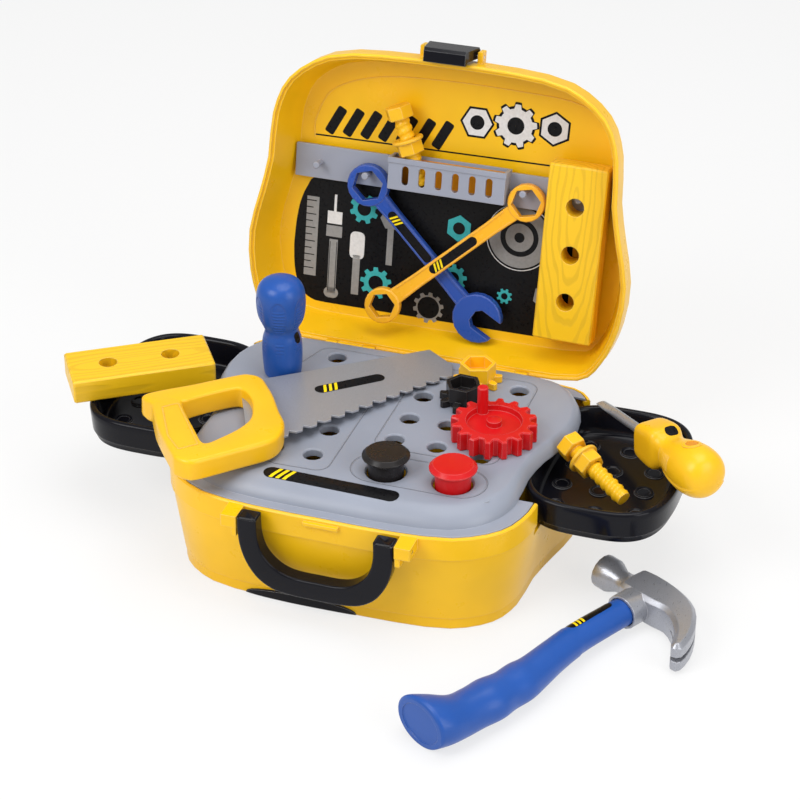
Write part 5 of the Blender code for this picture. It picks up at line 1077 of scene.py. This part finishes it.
def yellow_driver():
    """Block collar, waist and bulb with a part line, a ringed hole with a disc of painted shade inside, grip
    lines and a bare oval label.
    """
    axis = (YELLOW_DRIVER_BUTT - YELLOW_DRIVER_TIP).normalized()
    matrix = axes(YELLOW_DRIVER_BUTT - axis * DRIVER_LENGTH, axis, (0, 0, 1))
    curve = smooth_points(BULB_SHARES, YELLOW_STEPS)
    rings = [moved(yellow_driver_ring(*shares), matrix) for shares in curve]
    item = place_mesh("yellow_driver_grip", [loft(rings)], "tool_yellow", "yellow_driver", YELLOW_SMOOTH,
                      "yellow_driver_handle")
    place = draped_place(piece_tree(item), matrix, YELLOW_SEEN_FROM)
    for name, shape, lift, finish, rows in (
        ("badge", capsule(*YELLOW_BADGE), LABEL_LIFT, "print_black", 8),
        ("eye", wheel(*YELLOW_EYE), YELLOW_EYE_LIFT, "tool_yellow", 3),
        # The hole's inside is a dark amber disc of painted shade.
        ("hole_shade", capsule(*YELLOW_HOLE_SHADE), YELLOW_HOLE_SHADE_LIFT, "painted_shade_amber", 6),
    ):
        printed_shapes("yellow_driver_" + name, [shape], place, lift, finish, "yellow_driver", rows)


# Bolts and nuts, each in a frame whose X runs from the head to the tip

BOLT_HEAD_RADIUS = 0.0104
BOLT_HEAD_HEIGHT = 0.01
BOLT_LENGTH = 0.063
BOLT_CORE = 0.0053
BOLT_CREST = 0.0062
BOLT_TURNS = 9
BOLT_AROUND = 48
BOLT_STEPS = 8
BOLT_ROUND = 0.0006
NUT_BORE = 0.0064
NUT_FLANGE_RADIUS = 0.012
NUT_FLANGE_THICK = 0.0026
NUT_HEX_RADIUS = 0.0104
NUT_HEIGHT = 0.012
NUT_AROUND = 72
TRAY_BOLT_HEAD = Vector((0.1366, 0.0228, 0.0905))
TRAY_BOLT_AIM = Vector((0.1851, -0.0087, 0.074))
TRAY_NUT_START = 0.017
RACK_BOLT_TIP = (-0.0205, 0.1292, 0.0256)
RACK_BOLT_AIM = (-0.0435, 0.1892, 0.0229)
RACK_NUT_START = 0.0258
THREAD_FADE = 12
THREAD_SLOPE = 2.6
THREAD_CREST = 1.6
BOLT_SMOOTH = 38.0


def bolt_ring(matrix, x, sizes):
    """Ring of a bolt at a distance from its head, with a size for each direction."""
    return moved([(x, *polar(a, size)) for a, size in zip(angles(BOLT_AROUND), sizes)], matrix)


def fine_bolt(name, matrix):
    """Six-sided head and a shank with a true spiral thread."""
    around = angles(BOLT_AROUND)
    head = []
    for x, less in ((0.0, BOLT_ROUND), (BOLT_ROUND, 0.0), (BOLT_HEAD_HEIGHT - BOLT_ROUND, 0.0),
                    (BOLT_HEAD_HEIGHT, BOLT_ROUND)):
        head.append(bolt_ring(matrix, x, [hexagon_reach(BOLT_HEAD_RADIUS, a) - less for a in around]))
    shank = []
    start = BOLT_HEAD_HEIGHT - BOLT_ROUND
    count = BOLT_TURNS * BOLT_STEPS
    for k in range(count + 1):
        share = k / count
        rise = (BOLT_CREST - BOLT_CORE) * min(1.0, share * THREAD_FADE, (1 - share) * THREAD_FADE)
        sizes = []
        for a in around:
            phase = (share * BOLT_TURNS - a / (2 * math.pi)) % 1.0
            crest = max(0.0, 1.0 - abs(phase - 0.5) * THREAD_SLOPE)
            sizes.append(BOLT_CORE + rise * min(1.0, crest * THREAD_CREST))
        shank.append(bolt_ring(matrix, start + share * (BOLT_LENGTH - start), sizes))
    place_mesh(name + "_fine", [loft(head), loft(shank)], "tool_yellow", name, BOLT_SMOOTH, name)


def fine_nut(name, matrix, start):
    """Six-sided nut on a round flange, with an open bore."""
    rings = []
    wide, thick, edge = NUT_FLANGE_RADIUS, NUT_FLANGE_THICK, BOLT_ROUND
    for a in angles(NUT_AROUND):
        side = hexagon_reach(NUT_HEX_RADIUS, a)
        section = (
            (NUT_BORE, 0.0), (wide - edge, 0.0), (wide, edge), (wide, thick - edge), (wide - edge, thick),
            (side + edge, thick), (side, thick + edge), (side, NUT_HEIGHT - edge), (side - edge, NUT_HEIGHT),
            (NUT_BORE, NUT_HEIGHT),
        )
        rings.append(moved([(start + x, *polar(a, r)) for r, x in section], matrix))
    place_mesh(name + "_fine", [loft(rings, closed=True)], "tool_yellow", name, BOLT_SMOOTH, name)


def bolts():
    """Bolt and nut in the right tray, and those in the lid's rack."""
    tray = axes(TRAY_BOLT_HEAD, TRAY_BOLT_AIM - TRAY_BOLT_HEAD, (0, 0, 1))
    tip, aim = in_lid(*RACK_BOLT_TIP), in_lid(*RACK_BOLT_AIM)
    head = tip + (aim - tip).normalized() * BOLT_LENGTH
    rack = axes(head, tip - head, -LID_BACK)
    for name, matrix, start in (("tray_bolt", tray, TRAY_NUT_START), ("rack_bolt", rack, RACK_NUT_START)):
        fine_bolt(name, matrix)
        fine_nut(name + "_nut", matrix, start)


# Saw handle, as shares of the saw's length

SAW_LENGTH = 0.15
SAW_GRIP_SHARES = (
    (-0.507, 0.293), (-0.25, 0.275), (-0.03, 0.262), (0.03, 0.24), (0.062, 0.185),
    (0.05, 0.09), (0.033, 0.01), (-0.01, -0.13), (-0.04, -0.24), (-0.1, -0.325),
    (-0.185, -0.372), (-0.35, -0.378), (-0.56, -0.378), (-0.61, -0.36), (-0.637, -0.315),
    (-0.64, -0.26), (-0.59, 0.0), (-0.528, 0.19), (-0.54, 0.24),
)
SAW_WINDOW_SHARES = (
    (-0.4, 0.118), (-0.36, 0.142), (-0.22, 0.15), (-0.105, 0.143), (-0.075, 0.11),
    (-0.078, 0.035), (-0.11, -0.05), (-0.17, -0.14), (-0.26, -0.198), (-0.38, -0.238),
    (-0.45, -0.252), (-0.47, -0.225), (-0.455, -0.14),
)
SAW_CENTRE = (-0.27, -0.03)
SAW_HALF_THICK = 0.0085
SAW_EDGE = 0.0034
SAW_WINDOW_EDGE = 0.0022
SAW_AROUND = 220
SAW_EDGE_STEPS = 5
SAW_WINDOW_STEPS = 4
SAW_SMOOTH = 50.0
SAW_PANEL_SHARES = (
    (-0.5, 0.13), (-0.415, 0.13), (-0.47, -0.12), (-0.5, -0.25), (-0.6, -0.25), (-0.59, -0.12),
)
SAW_PANEL_ROUND = 0.0012
SAW_PANEL_LINE = 0.001
SAW_PANEL_LIFT = 0.0004


def reach_of(loop, centre, angle):
    """Distance from a centre to a closed loop along one direction."""
    direction = Vector((math.cos(angle), math.sin(angle)))
    best = 0.0
    count = len(loop)
    for k in range(count):
        a = Vector(loop[k]) - Vector(centre)
        b = Vector(loop[(k + 1) % count]) - Vector(centre)
        run = b - a
        cross = direction.x * run.y - direction.y * run.x
        if abs(cross) < 1e-12:
            continue
        far = (a.x * run.y - a.y * run.x) / cross
        share = (a.x * direction.y - a.y * direction.x) / cross
        if far > 0 and -1e-9 <= share <= 1 + 1e-9:
            best = max(best, far)
    return best


def saw_points(shares):
    """Points of the saw from shares of its length."""
    return [(x * SAW_LENGTH, y * SAW_LENGTH) for x, y in shares]


def saw_grip():
    """D-shaped grip with rounded edges and a framed panel on its rear bar."""
    outer = saw_points(smooth_points(SAW_GRIP_SHARES, CURVE_STEPS, closed=True))
    window = saw_points(smooth_points(SAW_WINDOW_SHARES, CURVE_STEPS, closed=True))
    centre = saw_points([SAW_CENTRE])[0]
    outside, inside = SAW_HALF_THICK - SAW_EDGE, SAW_HALF_THICK - SAW_WINDOW_EDGE
    rings = []
    for a in angles(SAW_AROUND):
        far = reach_of(outer, centre, a) - SAW_EDGE
        near = reach_of(window, centre, a) + SAW_WINDOW_EDGE
        section = quarter((far, -outside), SAW_EDGE, -math.pi / 2, SAW_EDGE_STEPS)
        section += quarter((far, outside), SAW_EDGE, 0.0, SAW_EDGE_STEPS)
        section += quarter((near, inside), SAW_WINDOW_EDGE, math.pi / 2, SAW_WINDOW_STEPS)
        section += quarter((near, -inside), SAW_WINDOW_EDGE, math.pi, SAW_WINDOW_STEPS)
        rings.append(moved([(*polar(a, r, centre), z) for r, z in section], SAW_PLACE))
    place_mesh("saw_grip", [loft(rings, closed=True)], "tool_yellow", "saw", SAW_SMOOTH, "saw_handle")
    panel = rounded(saw_points(SAW_PANEL_SHARES), SAW_PANEL_ROUND)
    top = flat_place(SAW_PLACE @ Matrix.Translation((0, 0, SAW_HALF_THICK)))
    printed_shapes("saw_grip_frame", [band(panel, SAW_PANEL_LINE)], top, SAW_PANEL_LIFT, "tool_yellow", "saw")


# Hammer, with shares of its length: along, off the axis, half width and half height


HAMMER_PLACE = turned_place((0.1074, -0.2254, 0), 59.9)
HAMMER_LENGTH = 0.201
HAMMER_SHARES = (
    (0.0, -0.004, 0.105, 0.085), (0.012, -0.006, 0.112, 0.09), (0.06, -0.022, 0.104, 0.084),
    (0.13, -0.04, 0.082, 0.072), (0.2, -0.044, 0.078, 0.07), (0.27, -0.046, 0.083, 0.07),
    (0.34, -0.044, 0.073, 0.066), (0.41, -0.04, 0.076, 0.065), (0.48, -0.032, 0.067, 0.061),
    (0.6, -0.01, 0.06, 0.056), (0.72, 0.006, 0.057, 0.054), (0.86, 0.01, 0.056, 0.052),
    (1.0, 0.01, 0.055, 0.05),
)
HEAD_HALF_THICK = 0.0125
HAMMER_GAP = 0.0003
HAMMER_AROUND = 72
HAMMER_SMOOTH = 50.0
BUTT_SHARES = (0.55, 0.8, 0.83, 0.97)
BUTT_STEP_SHARE = 0.82
BUTT_SINK = 0.0008
NECK_START_SHARE = 0.7
NECK_SHARE = 0.955
HAMMER_LABEL = (0.042, 0.0085)
HAMMER_LABEL_PLACE = turned_place((0.162, 0.006, 0), 2.0)
HAMMER_SEEN_FROM = 0.06


def hammer_ring(x, off, wide, tall, tallest):
    """Oval ring of the hammer's handle in the world."""
    size = HAMMER_LENGTH
    rest = max(tallest * size, HEAD_HALF_THICK) + HAMMER_GAP
    ring = [(x, off * size + wide * size * math.cos(a), rest + tall * size * math.sin(a))
            for a in angles(HAMMER_AROUND)]
    return moved(ring, HAMMER_PLACE)


def hammer_handle():
    """Curved grip with a sleeve step before the neck and an inset butt."""
    _, off, wide, tall = HAMMER_SHARES[0]
    rings = []
    for inner in BUTT_SHARES:
        depth = BUTT_SINK if inner < BUTT_STEP_SHARE else 0.0
        rings.append(hammer_ring(depth, off, wide * inner, tall * inner, tall))
    for along, off, wide, tall in smooth_points(HAMMER_SHARES, CURVE_STEPS):
        neck = 1.0 if along < NECK_START_SHARE else NECK_SHARE
        rings.append(hammer_ring(along * HAMMER_LENGTH, off, wide * neck, tall * neck, tall))
    item = place_mesh("hammer_grip", [loft(rings)], "blue", "hammer", HAMMER_SMOOTH, "hammer_handle")
    matrix = HAMMER_PLACE @ HAMMER_LABEL_PLACE
    place = draped_place(piece_tree(item), matrix, HAMMER_SEEN_FROM)
    striped_label("hammer_label", place, *HAMMER_LABEL, "hammer")


# Stage, light and camera

CAMERA_PLACE = (0.4746, -1.3505, 0.9824)
CAMERA_BACK = (0.2735, -0.8095, 0.5195)
CAMERA_LENS = 105.0
CAMERA_SENSOR = 36.0
FLOOR_HALF = 4.0
FLOOR_WHITE = (0.8, 0.8, 0.8, 1.0)
FLOOR_GLOW = 0.72
PURE_WHITE = (1.0, 1.0, 1.0, 1.0)
WORLD_LIGHT = 0.44
LAMPS = (
    ("key_light", (-0.9, -1.3, 1.5), (0, 0, 0.1), (1.1, 1.1), 23.0),
    ("top_light", (0.2, 0.1, 1.9), (0, 0, 0.05), (1.5, 1.2), 18.0),
    ("right_light", (1.6, -0.7, 0.9), (0, 0, 0.1), (0.9, 1.3), 12.0),
)


def stage_floor():
    """Pale floor that keeps the object's shadow and looks white to the camera."""
    mesh = bpy.data.meshes.new("floor")
    corners = [(x * FLOOR_HALF, y * FLOOR_HALF, 0) for x, y in ((-1, -1), (1, -1), (1, 1), (-1, 1))]
    mesh.from_pydata(corners, [], [(0, 1, 2, 3)])
    floor = bpy.data.objects.new("floor", mesh)
    bpy.context.scene.collection.objects.link(floor)
    shader = Shader("floor_white")
    shader.feed(shader.surface, base_color=FLOOR_WHITE, roughness=0.8, specular_ior_level=0.1)
    glow = shader.node("ShaderNodeEmission", color=PURE_WHITE)
    paths = shader.node("ShaderNodeLightPath").outputs
    seen = shader.computed("ShaderNodeMath", "MAXIMUM", paths["Is Camera Ray"], paths["Is Glossy Ray"])
    either = shader.computed("ShaderNodeMath", "MAXIMUM", seen, paths["Is Transmission Ray"])
    share = shader.computed("ShaderNodeMath", "MULTIPLY", either, FLOOR_GLOW)
    mix = shader.node("ShaderNodeMixShader")
    for socket, output in zip(mix.inputs, (share, shader.surface.outputs["BSDF"], glow.outputs["Emission"])):
        shader.plug(socket, output)
    shader.feed(shader.tree.nodes["Material Output"], surface=mix.outputs["Shader"])
    mesh.materials.append(shader.material)


def stand(name, data, place, direction):
    """Lamp or camera at a place, aimed along a direction."""
    item = bpy.data.objects.new(name, data)
    item.location = place
    item.rotation_mode = "QUATERNION"
    item.rotation_quaternion = direction.to_track_quat("-Z", "Y")
    bpy.context.scene.collection.objects.link(item)
    return item


def studio():
    """Soft light from the left front and above, and a white world."""
    for name, place, target, size, power in LAMPS:
        lamp = bpy.data.lights.new(name, "AREA")
        lamp.shape = "RECTANGLE"
        lamp.size, lamp.size_y = size
        lamp.energy = power
        stand(name, lamp, place, Vector(target) - Vector(place))
    world = bpy.data.worlds.new("studio_white")
    bpy.context.scene.world = world
    world.use_nodes = True
    tree = world.node_tree
    background = tree.nodes["Background"]
    background.inputs["Color"].default_value = PURE_WHITE
    strength = tree.nodes.new("ShaderNodeMapRange")
    strength.inputs["To Min"].default_value = WORLD_LIGHT
    strength.inputs["To Max"].default_value = 1.0
    tree.links.new(tree.nodes.new("ShaderNodeLightPath").outputs["Is Camera Ray"], strength.inputs["Value"])
    tree.links.new(strength.outputs["Result"], background.inputs["Strength"])


def camera():
    """Camera at the photograph's viewing angle."""
    lens = bpy.data.cameras.new("camera")
    lens.lens = CAMERA_LENS
    lens.sensor_width = CAMERA_SENSOR
    bpy.context.scene.camera = stand("camera", lens, CAMERA_PLACE, -Vector(CAMERA_BACK))


dress_nodes()
lid_prints()
for spanner in SPANNERS:
    spanner_details(*spanner)
saw_label()
pocket_shade()
bench_details()
fine_tray("left")
fine_tray("right")
blue_driver()
yellow_driver()
bolts()
saw_grip()
hammer_handle()
fine_handle()
stage_floor()
studio()
camera()
bpy.context.scene.view_settings.view_transform = "Standard"
